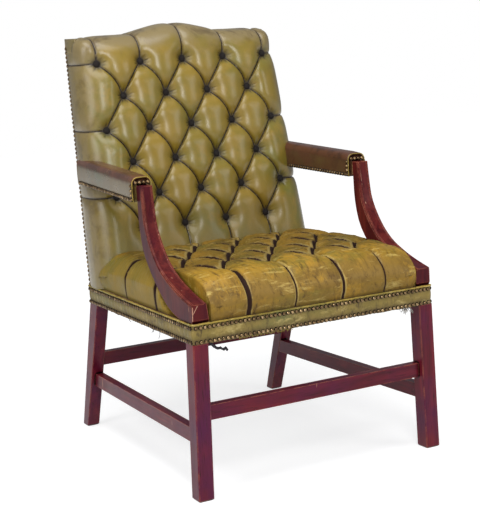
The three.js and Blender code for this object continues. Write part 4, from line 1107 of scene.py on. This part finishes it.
# The last number of each wear triple darkens the whole pad evenly.
for side, sign, wear in (("left", -1, (0.15, 0.85, 0.0)), ("right", 1, (0.62, 0.95, 0.22))):
    build_arm_pad(side, sign, *wear)
    for edge, outward, stop in (("outer", 1, 0.268), ("inner", -1, 0.165)):
        line = []
        for y in np.arange(pad_front + 13 * MM, stop, 1 * MM):
            centre, width, bottom, _ = pad_section(y)
            line.append(Vector((sign * (centre + outward * (width + 0.3 * MM)), y, bottom + 4.4 * MM)))
        nail_row(f"{side}_arm_{edge}_nails", line, [(sign * outward, 0, 0)] * len(line), 15)
        x = sign * (middle + outward * (half + 0.2 * MM))
        column = [Vector((x, pad_front + 5.5 * MM, low + (5 + 10.4 * k) * MM)) for k in range(4)]
        nails(f"{side}_arm_{edge}_end_nails", column, [(sign * outward, -0.3, 0)] * 4, 16)
    head = [Vector((sign * middle + (k - 1.5) * 10.6 * MM, pad_front + 0.4 * MM, head_nail_height))
            for k in range(4)]
    nails(f"{side}_arm_head_nails", head, [(0, -1, 0.15)] * 4, 17)
    raw_edge = [Vector((sign * x, y - 0.4 * MM, z))
                for x, y, z in pad_ring(pad_front + 1.2 * MM, 1.0 * MM, 0)[:42]]
    strands(f"{side}_arm_raw_edge", [raw_edge], 1.1 * MM, welt_hide,
            {"fold": 9, "dirt_and_shade": 0, "rub": 0.1})


# Loose ends: torn shreds of the black lining, broken threads, a tuft of hair stuffing and the frayed edge
# of the band, all hanging out below the rails where the base cloth has come away.
def crooked(roots, length, stray, seed):
    """A path hanging from each root, crooked in its own way."""
    chance = np.random.default_rng(seed)
    paths = []
    for root in roots:
        at = Vector(root)
        heading = Vector((*(chance.normal(size=2) * stray), -1)).normalized()
        own = length * (0.5 + 0.7 * chance.random())
        path = [at.copy()]
        for _ in range(9):
            sway = Vector(chance.normal(size=3)) * 0.35 * stray
            heading = (heading + sway + Vector((0, 0, -0.1))).normalized()
            at = at + heading * own / 9
            path.append(at.copy())
        paths.append(path)
    return paths


def fibre(name, tone, second):
    material, tree = new_finish(name)
    where = stretched(tree)
    fluff = mix(tree, spread(tree, noise(tree, where, 300, 4), 0.35, 0.65), tone, second)
    coated(tree, {"Base Color": fluff, "Roughness": 0.9,
                  "Normal": raised(tree, noise(tree, where, 900, 3), 0.4, 0.2 * MM)})
    return material


torn_lining = fibre("torn_lining", "#1c1a1d", "#39343a")
horsehair = fibre("hair_stuffing", "#8d8883", "#c9c4bb")
below_band = rail_low.z + 1 * MM
plain = {"fold": 9, "dirt_and_shade": 0, "rub": 0}
scrap_line = ((-0.276, 0.358), (-0.270, 0.350), (-0.263, 0.343), (-0.256, 0.338), (-0.248, 0.337),
              (-0.241, 0.334), (-0.235, 0.335), (-0.232, 0.331))
chance = np.random.default_rng(31)
scrap = [[Vector((x, front_face + 7 * MM, z)) + Vector(chance.normal(size=3) * (1.0 * MM, 1.6 * MM, 1.3 * MM))
          for x, z in scrap_line] for _ in range(7)]
strands("lining_scrap", scrap, 2.1 * MM, torn_lining, plain)
chance = np.random.default_rng(32)
tuft_roots = [Vector((0.247, front_face + 6 * MM, below_band))
              + Vector(chance.normal(size=3) * (5 * MM, 3 * MM, 1 * MM)) for _ in range(34)]
strands("stuffing_tuft", crooked(tuft_roots, 19 * MM, 0.8, 36), 0.6 * MM, horsehair, plain)
thread_roots = [(x, y, below_band) for x, y in ((-0.3085, -0.02), (-0.309, -0.012), (-0.3125, -0.16),
                                                (-0.312, -0.152), (-0.3135, -0.2))]
strands("loose_threads", crooked(thread_roots, 20 * MM, 0.9, 37), 0.6 * MM, torn_lining, plain)
fray_roots = [(x, front_face - 1 * MM, rail_low.z + 0.5 * MM) for x in np.arange(-0.205, -0.07, 1.7 * MM)]
strands("frayed_band_edge", crooked(fray_roots, 6.5 * MM, 0.7, 38), 0.5 * MM, welt_hide, plain)

size = {"cad": [list(c) for c in cad_box], "visual": [list(c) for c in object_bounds()]}
